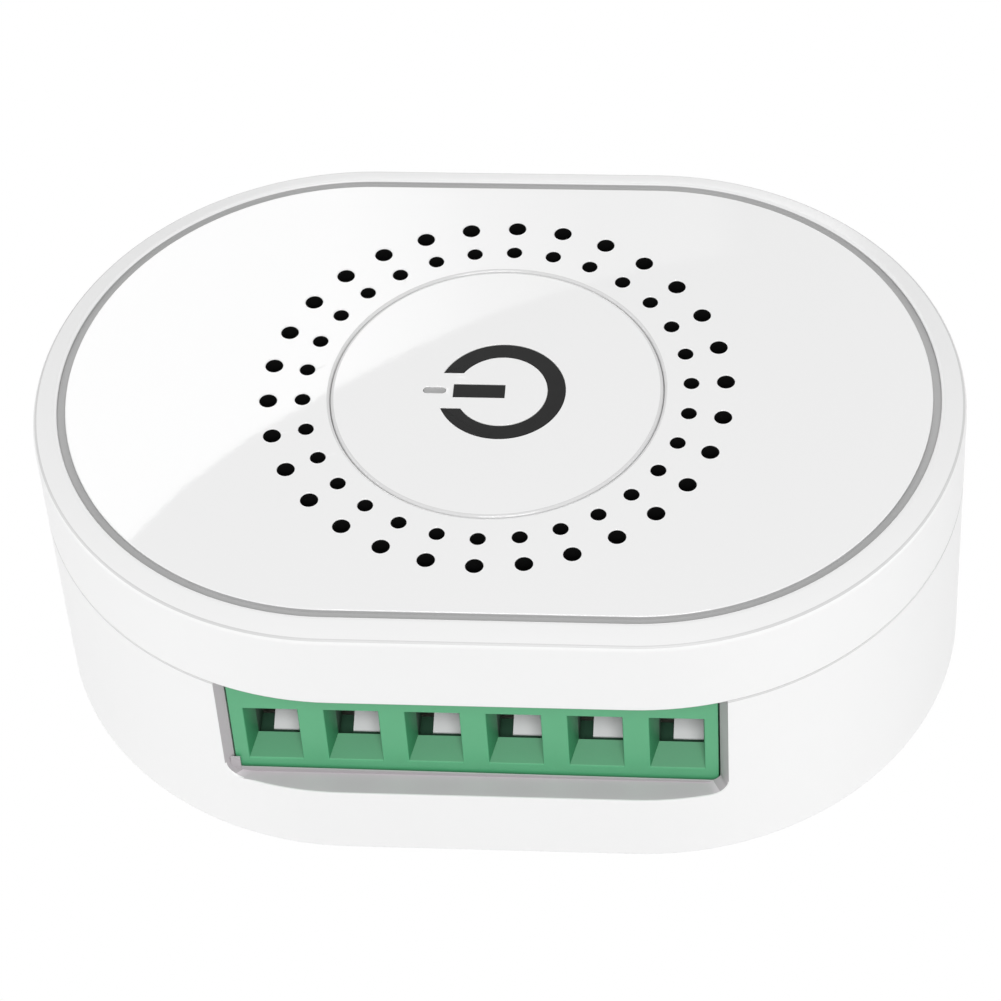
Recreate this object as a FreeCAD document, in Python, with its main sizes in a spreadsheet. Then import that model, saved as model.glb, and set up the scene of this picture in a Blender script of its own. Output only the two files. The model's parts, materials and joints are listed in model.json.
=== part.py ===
# Ceiling fan switch module: a stadium-shaped case with a push button on top,
# a six-pole terminal block in front and the relay board inside.
# Millimetres. Origin at the middle of the flat base, +X along the length,
# the wire entries face -Y, +Z up.
import FreeCAD, Part
import Sketcher
import math
import os
import re

doc = FreeCAD.newDocument("CeilingFanSwitch")
sheet = doc.addObject("Spreadsheet::Sheet", "Sizes")

# Driving sizes
sizes = {
    # case
    "case_length": 58.4,
    "case_depth": 40.2,
    "case_height": 21.0,
    "wall": 1.85,
    "floor_thick": 1.6,
    "base_round": 0.25,
    "skirt_height": 6.4,
    "lip_height": 1.4,
    "lip_thick": 0.8,
    "fit_gap": 0.1,
    "rim_width": 1.575,
    "rim_drop": 0.6,
    "rim_round": 0.4,
    "rim_flat": 0.25,
    "rim_soft_edge": 0.12,
    "bead_length": 6.0,
    "bead_height": 0.5,
    "bead_proud": 0.2,
    "bead_spacing": 18.0,
    "ledge_level": 5.65,
    "notch_width": 31.4,
    "notch_round": 1.0,
    "label_y": 4.5,
    "label_length": 30.0,
    "label_depth": 14.0,
    "label_thick": 0.2,
    "label_recess": 0.3,
    # face plate and vents
    "groove_width": 0.52,
    "groove_deep": 0.3,
    "plate_thick": 1.0,
    "plate_round": 0.12,
    "deck_thick": 1.2,
    "vent_count": 30,
    "vent_turn": 4.6,
    "outer_vent_ring": 14.3,
    "outer_vent_radius": 0.56,
    "inner_vent_ring": 12.15,
    "inner_vent_radius": 0.49,
    "vent_relief": 0.1,
    "vent_round": 0.07,
    # button
    "button_radius": 10.25,
    "button_gap": 0.2,
    "button_wall": 1.0,
    "button_round": 0.15,
    "flange_width": 0.9,
    "flange_thick": 0.7,
    "flange_gap": 0.05,
    "press_travel": 0.3,
    "stem_radius": 1.5,
    "symbol_centre": 0.3,
    "symbol_radius": 4.0,
    "symbol_stroke": 1.1,
    "symbol_gap": 3.0,
    "symbol_deep": 0.3,
    "bar_length": 3.2,
    "bar_gap": 0.5,
    "slit_offset": 3.9,
    "slit_length": 1.4,
    "slit_width": 0.5,
    "pipe_length": 1.5,
    "pipe_width": 1.6,
    # tact switch and light
    "tact_side": 6.0,
    "tact_height": 2.3,
    "tact_cover_thick": 0.2,
    "plunger_radius": 1.7,
    "plunger_flange": 0.45,
    "plunger_flange_thick": 0.4,
    "plunger_gap": 0.06,
    "dome_radius": 2.1,
    "dome_rise": 0.45,
    "dome_thick": 0.1,
    "led_length": 2.0,
    "led_width": 1.2,
    "led_height": 0.8,
    # boards
    "board_gap": 0.4,
    "board_thick": 1.0,
    "board_drop": 0.4,
    "post_reach": 10.9,
    "post_y": 11.5,
    "post_radius": 1.7,
    "pilot_radius": 0.75,
    "pilot_depth": 6.0,
    "board_hole_radius": 1.15,
    "board_screw_radius": 1.0,
    "board_screw_head": 1.8,
    "board_screw_head_height": 0.9,
    "board_screw_length": 5.5,
    "pin_hole_gap": 0.15,
    "pin_proud": 0.6,
    # terminal block
    "pole_count": 6,
    "pole_pitch": 5.0,
    "block_margin": 0.1,
    "block_shift": -0.7,
    "block_depth": 9.6,
    "face_cover": 0.4775,
    "block_gap": 0.05,
    "mouth_rise": 1.0,
    "mouth_width": 3.4,
    "mouth_height": 4.95,
    "funnel_depth": 1.2,
    "funnel_rise": 1.2,
    "funnel_left": 0.6,
    "funnel_right": 0.25,
    "screw_setback": 5.05,
    "screw_radius": 1.25,
    "screw_head": 1.6,
    "screw_head_height": 1.2,
    "screw_recess": 0.3,
    "screw_slot": 0.55,
    "screw_slot_length": 2.2,
    "screw_slot_deep": 0.65,
    "screw_pitch": 0.45,
    "thread_gap": 0.05,
    "driver_gap": 0.1,
    "cage_width": 4.0,
    "cage_depth": 3.4,
    "cage_wall": 0.45,
    "cage_nut": 1.0,
    "cage_top": 0.7,
    "cage_gap": 0.1,
    "clamp_turns": 6,
    "contact_drop": 0.15,
    "contact_thick": 0.6,
    "contact_width": 2.6,
    "contact_step": 1.4,
    "tongue_left": 0.35,
    "pin_side": 0.8,
    "brow_thick": 0.3,
    # parts that hang under the board, drawn in a room of this size behind the block
    "drawn_length": 58.4,
    "drawn_depth": 40.2,
    "drawn_room": 26.5,
    "drawn_height": 12.6,
    "leg_side": 0.5,
    "relay_length": 20.0,
    "relay_width": 5.0,
    "relay_height": 12.4,
    "relay_base": 2.0,
    "relay_wall": 0.5,
    "relay_round": 0.4,
    "relay_y": 2.85,
    "relay_apart": 1.6,
    "relay_leg_inset": 1.6,
    "relay_leg_spread": 2.4,
    "yoke_thick": 0.8,
    "relay_coil_length": 10.0,
    "relay_coil_width": 3.4,
    "relay_coil_height": 5.0,
    "armature_length": 14.0,
    "armature_width": 3.0,
    "armature_thick": 0.6,
    "armature_gap": 0.6,
    "contact_gap": 0.8,
    "film_length": 13.0,
    "film_width": 5.0,
    "film_height": 11.0,
    "film_x": -14.0,
    "film_y": 9.05,
    "film_leg_inset": 1.5,
    "bulk_radius": 4.0,
    "bulk_height": 11.5,
    "bulk_x": -1.2,
    "bulk_y": 14.05,
    "filter_radius": 3.15,
    "filter_height": 11.0,
    "filter_x": 7.4,
    "filter_y": 9.85,
    "can_leg_inset": 2.2,
    "varistor_radius": 3.6,
    "varistor_thick": 3.5,
    "varistor_x": 16.0,
    "varistor_y": 9.25,
    "fuse_radius": 1.6,
    "fuse_length": 7.0,
    "fuse_x": -9.6,
    "fuse_y": 15.05,
    "coil_radius": 3.6,
    "coil_core": 1.6,
    "coil_height": 7.0,
    "coil_flange": 1.0,
    "coil_x": -6.2,
    "coil_y": 21.65,
    "triac_length": 10.0,
    "triac_width": 3.2,
    "triac_height": 9.0,
    "triac_x": 9.0,
    "triac_y": 19.05,
    "tab_thick": 1.2,
    "tab_height": 11.5,
    "opto_length": 6.5,
    "opto_width": 4.4,
    "opto_height": 3.4,
    "opto_spacing": 36.0,
    "opto_y": 14.75,
    # parts on top of the board
    "chip_length": 4.9,
    "chip_width": 3.9,
    "chip_height": 1.5,
    "chip_x": -16.5,
    "chip_y": 12.65,
    "bridge_length": 4.7,
    "bridge_width": 3.8,
    "bridge_height": 2.4,
    "bridge_y": 7.15,
    "radio_length": 12.4,
    "radio_width": 16.0,
    "radio_thick": 0.8,
    "radio_reach": 9.5,
    "radio_lift": 0.8,
    "radio_header_width": 0.7,
    "radio_header_length": 10.0,
    "radio_header_y": 2.0,
    "shield_length": 8.6,
    "shield_width": 12.0,
    "shield_height": 0.9,
    "aerial_length": 7.0,
    "aerial_width": 1.6,
    "aerial_height": 0.9,
    "small_chip_length": 2.0,
    "small_chip_width": 1.25,
    "small_chip_height": 0.6,
    "small_chip_pitch": 2.4,
    "small_chip_count": 5,
    "small_chip_spacing": 9.4,
    "small_chip_y": 11.05,
    "solder_gap": 0.02,
    # lines closer than this are the same line
    "same_line": 0.0001,
}
for row, (alias, value) in enumerate(sizes.items(), start=1):
    sheet.set("A%d" % row, alias.replace("_", " "))
    sheet.set("B%d" % row, str(value))
    sheet.setAlias("B%d" % row, alias)
doc.recompute()

# Levels and places worked out from the sizes
places = {
    "half_length": "case_length / 2",
    "half_depth": "case_depth / 2",
    "parting": "case_height - skirt_height",
    "plate_under": "case_height - plate_thick",
    "deck_under": "plate_under - deck_thick",
    "bead_low": "parting + (lip_height - bead_height) / 2",
    "block_height": "parting - board_drop - floor_thick",
    "board_under": "floor_thick + block_height",
    "board_top": "board_under + board_thick",
    # terminal block
    "arc_x": "(case_length - case_depth) / 2",
    "notch_reach": "notch_width / 2 + abs(block_shift) - arc_x",
    "face_y": "face_cover - sqrt(half_depth ^ 2 - (notch_reach) ^ 2)",
    "screw_y": "face_y + screw_setback",
    "notch_back": "face_y + block_depth / 4",
    "block_width": "pole_count * pole_pitch + block_margin",
    "first_pole": "block_shift - (pole_count - 1) * pole_pitch / 2",
    # the notch flares from the block's width to its own width at the skin of the case
    "notch_inner": "block_width / 2 + fit_gap",
    "flare": "notch_width / 2 - notch_inner",
    "left_skin": "sqrt(half_depth ^ 2 - (notch_width / 2 - block_shift - arc_x) ^ 2)",
    "right_skin": "sqrt(half_depth ^ 2 - (notch_width / 2 + block_shift - arc_x) ^ 2)",
    "flare_depth": "half_depth + wall + face_y",
    "left_flare": "flare * flare_depth / (left_skin + face_y)",
    "right_flare": "flare * flare_depth / (right_skin + face_y)",
    "mouth_floor": "ledge_level + mouth_rise",
    "mouth_top": "mouth_floor + mouth_height",
    "window_floor": "mouth_floor + funnel_rise",
    "contact_up": "window_floor - contact_drop",
    "contact_low": "contact_up - contact_thick",
    "head_low": "floor_thick + screw_recess",
    "head_up": "head_low + screw_head_height",
    "driver_radius": "screw_head + driver_gap",
    "clamp_travel": "clamp_turns * screw_pitch",
    "nut_up": "contact_low - cage_gap",
    "nut_low": "nut_up - cage_nut",
    "cage_up": "contact_up + clamp_travel + 3 * cage_gap + cage_top",
    "chamber_width": "cage_width + 2 * cage_gap",
    "chamber_front": "screw_y - cage_depth / 2 - cage_gap",
    "contact_front": "chamber_front + contact_step",
    "tail_y": "face_y + block_depth - 2 * pin_side",
    # button
    "button_hole": "button_radius + button_gap",
    "flange_up": "deck_under - flange_gap",
    "flange_low": "flange_up - flange_thick",
    "tact_up": "board_top + tact_height",
    "plunger_up": "tact_up + tact_cover_thick + 2 * press_travel",
    "plunger_flange_up": "tact_up - flange_gap",
    "plunger_flange_low": "plunger_flange_up - plunger_flange_thick",
    "dome_low": "plunger_flange_low - dome_rise",
    "slit_x": "-slit_offset",
    # shares of the drawn room, all 1 in the real model
    "room_front": "face_y + block_depth",
    "room_back": "half_depth - wall - board_gap",
    "long_share": "case_length / drawn_length",
    "deep_share": "case_depth / drawn_depth",
    "room_share": "(room_back - room_front) / drawn_room",
    "high_share": "block_height / drawn_height",
    "post_x": "arc_x + deep_share * post_reach",
    "post_line": "deep_share * post_y",
    "radio_x": "arc_x + deep_share * radio_reach",
    # relay
    "relay_spacing": "relay_length + relay_apart",
    "relay_coil_low": "board_under - relay_base - relay_coil_height",
    "armature_up": "relay_coil_low - armature_gap",
    "pin_reach": "board_thick + pin_proud",
}


def bound(text):
    # turns the names in a sum into references to the sheet
    def reference(match):
        name = match.group(0)
        if name in sizes:
            return "Sizes." + name
        if name in places:
            return "(" + bound(places[name]) + ")"
        return name
    return re.sub(r"[a-z][a-z_]*", reference, str(text))


def number(text):
    # the value of a sum of sizes, in millimetres
    return float(sheet.evalExpression(bound(text)))


subparts = []


def keep(thing, label):
    # marks an object as one finished piece of the assembly
    thing.Label = label
    if thing.Label != label:
        raise ValueError("the name %s is taken" % label)
    subparts.append(thing)


# Places and sizes of the inner parts, which follow the room they are in


def along(x):
    return "(long_share * %s)" % x


def behind(y):
    return "(room_front + room_share * %s)" % y


def deep(width):
    return "(room_share * %s)" % width


def round_end(length):
    return "(deep_share * %s)" % length


def tall(height):
    return "(high_share * %s)" % height


# Sketches and features


def new_body(name):
    return doc.addObject("PartDesign::Body", name + "_body")


def new_sketch(body, name, plane="XY_Plane", level="0"):
    sketch = body.newObject("Sketcher::SketchObject", name)
    origin_planes = [item for item in body.Origin.OriginFeatures if item.Role == plane]
    sketch.AttachmentSupport = [(origin_planes[0], "")]
    sketch.MapMode = "FlatFace"
    sketch.setExpression("AttachmentOffset.Base.z", bound(level))
    return sketch


def bind(sketch, kind, where, text):
    # adds one driving dimension and ties it to the sheet
    index = sketch.addConstraint(Sketcher.Constraint(kind, *where, number(text)))
    sketch.setExpression("Constraints[%d]" % index, bound(text))


def draw_circle(sketch, x, y, radius):
    centre = FreeCAD.Vector(number(x), number(y), 0)
    circle = sketch.addGeometry(Part.Circle(centre, FreeCAD.Vector(0, 0, 1), number(radius)))
    bind(sketch, "Radius", [circle], radius)
    bind(sketch, "DistanceX", [-1, 1, circle, 3], x)
    bind(sketch, "DistanceY", [-1, 1, circle, 3], y)


def draw_rectangle(sketch, left, right, low, high):
    x0, x1, y0, y1 = [number(text) for text in (left, right, low, high)]
    corners = [(x0, y0), (x1, y0), (x1, y1), (x0, y1)]
    points = [FreeCAD.Vector(x, y, 0) for x, y in corners]
    lines = []
    for start, end in zip(points, points[1:] + points[:1]):
        lines.append(sketch.addGeometry(Part.LineSegment(start, end)))
    for line, following in zip(lines, lines[1:] + lines[:1]):
        sketch.addConstraint(Sketcher.Constraint("Coincident", line, 2, following, 1))
    for line, kind in zip(lines, ("Horizontal", "Vertical", "Horizontal", "Vertical")):
        sketch.addConstraint(Sketcher.Constraint(kind, line))
    bind(sketch, "DistanceX", [-1, 1, lines[0], 1], left)
    bind(sketch, "DistanceX", [-1, 1, lines[2], 1], right)
    bind(sketch, "DistanceY", [-1, 1, lines[0], 1], low)
    bind(sketch, "DistanceY", [-1, 1, lines[2], 1], high)


def draw_stadium(sketch, inset):
    # the case's outline, drawn in by an inset on all sides
    radius = number("case_depth / 2 - (%s)" % inset)
    straight = number("(case_length - case_depth) / 2")
    up = FreeCAD.Vector(0, 0, 1)
    quarter = math.pi / 2
    top = sketch.addGeometry(Part.LineSegment(
        FreeCAD.Vector(-straight, radius, 0), FreeCAD.Vector(straight, radius, 0)))
    low = sketch.addGeometry(Part.LineSegment(
        FreeCAD.Vector(-straight, -radius, 0), FreeCAD.Vector(straight, -radius, 0)))
    right = sketch.addGeometry(Part.ArcOfCircle(
        Part.Circle(FreeCAD.Vector(straight, 0, 0), up, radius), -quarter, quarter))
    left = sketch.addGeometry(Part.ArcOfCircle(
        Part.Circle(FreeCAD.Vector(-straight, 0, 0), up, radius), quarter, 3 * quarter))
    for line, end, arc, arc_end in (
            (top, 2, right, 2), (top, 1, left, 1), (low, 1, left, 2), (low, 2, right, 1)):
        sketch.addConstraint(Sketcher.Constraint("Tangent", line, end, arc, arc_end))
    sketch.addConstraint(Sketcher.Constraint("Horizontal", top))
    sketch.addConstraint(Sketcher.Constraint("Equal", left, right))
    bind(sketch, "Radius", [right], "case_depth / 2 - (%s)" % inset)
    bind(sketch, "DistanceX", [-1, 1, right, 3], "(case_length - case_depth) / 2")
    bind(sketch, "DistanceX", [-1, 1, left, 3], "(case_depth - case_length) / 2")
    bind(sketch, "DistanceY", [-1, 1, right, 3], "0")


def build(feature):
    # recomputes and stops at the first feature that fails
    doc.recompute()
    if "Invalid" in feature.State or "Error" in feature.State:
        raise ValueError("%s did not build" % feature.Name)
    return feature


def add_pad(body, sketch, length):
    pad = body.newObject("PartDesign::Pad", sketch.Name + "_pad")
    pad.Profile = sketch
    pad.setExpression("Length", bound(length))
    return build(pad)


def add_pocket(body, sketch, length, upward=False):
    before = body.Shape.Volume
    pocket = body.newObject("PartDesign::Pocket", sketch.Name + "_pocket")
    pocket.Profile = sketch
    pocket.Reversed = upward
    pocket.setExpression("Length", bound(length))
    build(pocket)
    if body.Shape.Volume >= before:
        raise ValueError(sketch.Name + " cuts nothing")
    return pocket


def ring_pattern(body, feature, count):
    axis = [item for item in body.Origin.OriginFeatures if item.Role == "Z_Axis"][0]
    pattern = body.newObject("PartDesign::PolarPattern", feature.Name + "_ring")
    pattern.Originals = [feature]
    pattern.Axis = (axis, [""])
    pattern.Angle = 360
    pattern.setExpression("Occurrences", bound(count))
    body.Tip = pattern
    return build(pattern)


def edges_where(feature, test):
    names = []
    for index, edge in enumerate(feature.Shape.Edges, start=1):
        if test(edge):
            names.append("Edge%d" % index)
    return names


def round_edges(body, test, radius):
    base = body.Tip
    fillet = body.newObject("PartDesign::Fillet", base.Name + "_round")
    fillet.Base = (base, edges_where(base, test))
    fillet.setExpression("Radius", bound(radius))
    return build(fillet)


def lies_at(level):
    # test for an edge that lies flat at one height
    height = number(level)
    tolerance = number("same_line")

    def test(edge):
        box = edge.BoundBox
        return abs(box.ZMin - height) < tolerance and abs(box.ZMax - height) < tolerance
    return test


# Primitives and booleans


def box(name, x, y, z, length, width, height):
    # a block from its low corner
    block = doc.addObject("Part::Box", name)
    block.setExpression("Length", bound(length))
    block.setExpression("Width", bound(width))
    block.setExpression("Height", bound(height))
    place(block, x, y, z)
    return block


def middle_box(name, x, y, z, length, width, height):
    # a block from the middle of its base
    return box(name, "%s - (%s) / 2" % (x, length), "%s - (%s) / 2" % (y, width), z,
               length, width, height)


def rod(name, x, y, z, radius, height, turn=None):
    cylinder = doc.addObject("Part::Cylinder", name)
    cylinder.setExpression("Radius", bound(radius))
    cylinder.setExpression("Height", bound(height))
    place(cylinder, x, y, z)
    if turn:
        base = cylinder.Placement.Base
        cylinder.Placement = FreeCAD.Placement(base, FreeCAD.Rotation(FreeCAD.Vector(*turn), 90))
    return cylinder


def place(thing, x, y, z):
    thing.setExpression("Placement.Base.x", bound(x))
    thing.setExpression("Placement.Base.y", bound(y))
    thing.setExpression("Placement.Base.z", bound(z))


def fuse(name, things):
    joined = doc.addObject("Part::MultiFuse", name)
    joined.Shapes = things
    return joined


def group(name, things):
    # separate solids in one node
    gathered = doc.addObject("Part::Compound", name)
    gathered.Links = things
    return gathered


def cut(name, base, tools):
    tool = tools[0] if len(tools) == 1 else fuse(name + "_tools", tools)
    result = doc.addObject("Part::Cut", name)
    result.Base = base
    result.Tool = tool
    return result


def soften(name, base, radius, test):
    # rounds the chosen edges of a primitive
    doc.recompute()
    rounded = doc.addObject("Part::Fillet", name)
    rounded.Base = base
    size = number(radius)
    names = edges_where(base, test)
    rounded.Edges = [(int(edge[4:]), size, size) for edge in names]
    return rounded


def upright(edge):
    ends = [vertex.Point for vertex in edge.Vertexes]
    return len(ends) == 2 and abs((ends[1] - ends[0]).normalize().z) > 0.99


def pole_x(pole):
    return "(first_pole + %d * pole_pitch)" % pole


poles = range(int(number("pole_count")))


def draw_beads(sketch, gap):
    # snap beads on the outside of the lip, two at the back and one at each end
    half = "(bead_length / 2 + %s)" % gap
    for side in (-1, 1):
        middle = "%d * bead_spacing / 2" % side
        draw_rectangle(sketch, middle + " - " + half, middle + " + " + half,
                       "half_depth - wall", "half_depth - wall + lip_thick + bead_proud + " + gap)
    reach = "half_length - wall + lip_thick + bead_proud + " + gap
    draw_rectangle(sketch, "half_length - wall", reach, "-" + half, half)
    draw_rectangle(sketch, "-(%s)" % reach, "wall - half_length", "-" + half, half)


def bottom_shell():
    body = new_body("bottom_shell")
    outline = new_sketch(body, "shell_outline")
    draw_stadium(outline, "0")
    add_pad(body, outline, "parting")
    round_edges(body, lies_at("0"), "base_round")
    lip = new_sketch(body, "shell_lip", level="parting")
    draw_stadium(lip, "wall - lip_thick")
    add_pad(body, lip, "lip_height")
    beads = new_sketch(body, "shell_beads", level="bead_low")
    draw_beads(beads, "0")
    add_pad(body, beads, "bead_height")
    cavity = new_sketch(body, "shell_cavity", level="floor_thick")
    draw_stadium(cavity, "wall")
    add_pocket(body, cavity, "case_height", upward=True)
    # notch in the front wall that shows the wire entries
    notch = new_sketch(body, "shell_notch", "XZ_Plane", "-notch_back")
    draw_rectangle(notch, "block_shift - notch_inner", "block_shift + notch_inner",
                   "ledge_level", "case_height")
    add_pocket(body, notch, "half_depth", upward=True)
    # bay for the terminal block, let into the front wall
    bay = new_sketch(body, "shell_bay", level="floor_thick")
    draw_rectangle(bay, "block_shift - notch_inner", "block_shift + notch_inner",
                   "face_y - block_gap", "face_y + block_depth / 2")
    add_pocket(body, bay, "case_height", upward=True)
    posts = new_sketch(body, "shell_posts", level="floor_thick")
    for side_x in (-1, 1):
        for side_y in (-1, 1):
            draw_circle(posts, "%d * post_x" % side_x, "%d * post_line" % side_y, "post_radius")
    add_pad(body, posts, "block_height")
    pilots = new_sketch(body, "shell_pilots", level="board_under")
    for side in (-1, 1):
        draw_circle(pilots, "%d * post_x" % side, "-%d * post_line" % side, "pilot_radius")
    add_pocket(body, pilots, "pilot_depth")
    # screwdriver holes under the terminal screws
    holes = new_sketch(body, "shell_driver_holes", level="floor_thick")
    for pole in poles:
        draw_circle(holes, pole_x(pole), "screw_y", "driver_radius")
    add_pocket(body, holes, "floor_thick")
    recess = new_sketch(body, "shell_label_recess")
    draw_rectangle(recess, "-label_length / 2", "label_length / 2",
                   "label_y - label_depth / 2", "label_y + label_depth / 2")
    add_pocket(body, recess, "label_recess", upward=True)
    # sloped sides of the notch, rounded along the ledge
    slope = doc.addObject("Part::Wedge", "notch_slope")
    for key, text in (
            ("Xmin", "block_shift - notch_inner - left_flare"),
            ("Xmax", "block_shift + notch_inner + right_flare"),
            ("X2min", "block_shift - notch_inner"), ("X2max", "block_shift + notch_inner"),
            ("Ymin", "face_y - flare_depth"), ("Ymax", "face_y"),
            ("Zmin", "ledge_level"), ("Zmax", "case_height"),
            ("Z2min", "ledge_level"), ("Z2max", "case_height")):
        slope.setExpression(key, bound(text))

    def slope_foot(edge):
        ends = [vertex.Point for vertex in edge.Vertexes]
        return lies_at("ledge_level")(edge) and abs(ends[0].y - ends[1].y) > number("wall")
    opening = soften("notch_opening", slope, "notch_round", slope_foot)
    keep(cut("shell_with_opening", body, [opening]), "bottom_shell")
    label = middle_box("label_sheet", "0", "label_y", "label_recess - label_thick",
                       "label_length - 2 * fit_gap", "label_depth - 2 * fit_gap", "label_thick")
    keep(label, "blank_label")


def vent_holes(body, name, level, depth, ring, radius):
    # one hole turned a little from +X, then the whole ring
    sketch = new_sketch(body, name, level=level)
    draw_circle(sketch, "%s * cos(vent_turn)" % ring, "%s * sin(vent_turn)" % ring, radius)
    pocket = add_pocket(body, sketch, depth)
    ring_pattern(body, pocket, "vent_count")


def top_cover():
    body = new_body("top_cover")
    outline = new_sketch(body, "cover_outline", level="parting")
    draw_stadium(outline, "0")
    block = add_pad(body, outline, "skirt_height")
    slope = body.newObject("PartDesign::Chamfer", "cover_slope")
    slope.Base = (block, edges_where(block, lies_at("case_height")))
    slope.ChamferType = "Two distances"
    slope.setExpression("Size", bound("rim_width - rim_flat"))
    slope.setExpression("Size2", bound("rim_drop"))
    build(slope)
    if not edges_where(slope, lies_at("case_height - rim_drop")):
        slope.FlipDirection = True
        build(slope)
    round_edges(body, lies_at("case_height - rim_drop"), "rim_round")
    groove = new_sketch(body, "cover_groove", level="case_height")
    draw_stadium(groove, "rim_width")
    add_pocket(body, groove, "groove_deep")
    seat = new_sketch(body, "cover_seat", level="case_height - groove_deep")
    draw_stadium(seat, "rim_width + groove_width - fit_gap")
    add_pocket(body, seat, "plate_thick - groove_deep")
    inner_line = number("half_depth - rim_width + same_line")

    def rim_edge(edge):
        box = edge.BoundBox
        inside = abs(box.YMax) < inner_line and abs(box.YMin) < inner_line
        return lies_at("case_height")(edge) and inside
    round_edges(body, rim_edge, "rim_soft_edge")
    hollow = new_sketch(body, "cover_hollow", level="parting")
    draw_stadium(hollow, "wall")
    add_pocket(body, hollow, "skirt_height - plate_thick - deck_thick", upward=True)
    rebate = new_sketch(body, "cover_rebate", level="parting")
    draw_stadium(rebate, "wall - lip_thick - fit_gap")
    add_pocket(body, rebate, "lip_height + fit_gap", upward=True)
    catches = new_sketch(body, "cover_catches", level="bead_low - fit_gap")
    draw_beads(catches, "fit_gap")
    add_pocket(body, catches, "bead_height + 2 * fit_gap", upward=True)
    opening = new_sketch(body, "cover_opening", level="plate_under")
    draw_circle(opening, "0", "0", "button_hole")
    add_pocket(body, opening, "deck_thick")
    vent_holes(body, "cover_outer_vents", "plate_under", "deck_thick",
               "outer_vent_ring", "outer_vent_radius + vent_relief")
    vent_holes(body, "cover_inner_vents", "plate_under", "deck_thick",
               "inner_vent_ring", "inner_vent_radius + vent_relief")
    keep(body, "top_cover")


def face_plate():
    body = new_body("face_plate")
    outline = new_sketch(body, "plate_outline", level="plate_under")
    draw_stadium(outline, "rim_width + groove_width")
    add_pad(body, outline, "plate_thick")
    opening = new_sketch(body, "plate_opening", level="case_height")
    draw_circle(opening, "0", "0", "button_hole")
    add_pocket(body, opening, "plate_thick")
    round_edges(body, lies_at("case_height"), "plate_round")
    vent_holes(body, "plate_outer_vents", "case_height", "plate_thick",
               "outer_vent_ring", "outer_vent_radius")
    vent_holes(body, "plate_inner_vents", "case_height", "plate_thick",
               "inner_vent_ring", "inner_vent_radius")
    largest = number("outer_vent_radius + same_line")

    def vent_edge(edge):
        return lies_at("case_height")(edge) and edge.BoundBox.XLength < 2 * largest
    round_edges(body, vent_edge, "vent_round")
    keep(body, "face_plate")


def symbol_solids(name, level):
    # an open ring with a bar in its gap, let in to one depth
    outer = rod(name + "_disc", "symbol_centre", "0", level, "symbol_radius", "symbol_deep")
    inner = rod(name + "_bore", "symbol_centre", "0", level,
                "symbol_radius - symbol_stroke", "symbol_deep")
    mouth = box(name + "_mouth", "symbol_centre - symbol_radius", "-symbol_gap / 2", level,
                "symbol_radius", "symbol_gap", "symbol_deep")
    ring = cut(name + "_ring", outer, [inner, mouth])
    bar = box(name + "_bar", "slit_x + slit_length / 2 + bar_gap", "-symbol_stroke / 2", level,
              "bar_length", "symbol_stroke", "symbol_deep")
    return [ring, bar]


def button():
    body = new_body("button_cap")
    cap = new_sketch(body, "cap_disc", level="deck_under")
    draw_circle(cap, "0", "0", "button_radius")
    add_pad(body, cap, "plate_thick + deck_thick")
    round_edges(body, lies_at("case_height"), "button_round")
    flange = new_sketch(body, "cap_flange", level="flange_low")
    draw_circle(flange, "0", "0", "button_radius + flange_width")
    add_pad(body, flange, "flange_thick")
    neck = new_sketch(body, "cap_neck", level="flange_low")
    draw_circle(neck, "0", "0", "button_radius")
    add_pad(body, neck, "deck_under - flange_low")
    hollow = new_sketch(body, "cap_hollow", level="flange_low")
    draw_circle(hollow, "0", "0", "button_radius - button_wall")
    add_pocket(body, hollow, "case_height - button_wall - flange_low", upward=True)
    stem = new_sketch(body, "cap_stem", level="plunger_up")
    draw_circle(stem, "0", "0", "stem_radius")
    add_pad(body, stem, "case_height - button_wall - plunger_up")
    slit = new_sketch(body, "cap_slit", level="case_height")
    draw_rectangle(slit, "slit_x - slit_length / 2", "slit_x + slit_length / 2",
                   "-slit_width / 2", "slit_width / 2")
    add_pocket(body, slit, "button_wall")
    recess = symbol_solids("recess", "case_height - symbol_deep")
    keep(cut("cap_with_recess", body, recess), "button_cap")
    inlay = symbol_solids("inlay", "case_height - symbol_deep")
    keep(group("symbol", inlay), "button_symbol")
    head = middle_box("pipe_head", "slit_x", "0", "case_height - button_wall",
                      "slit_length", "slit_width", "button_wall")
    guide = middle_box("pipe_guide", "slit_x", "0", "flange_low",
                       "pipe_length", "pipe_width", "case_height - button_wall - flange_low")
    keep(fuse("pipe", [head, guide]), "light_pipe")


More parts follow.
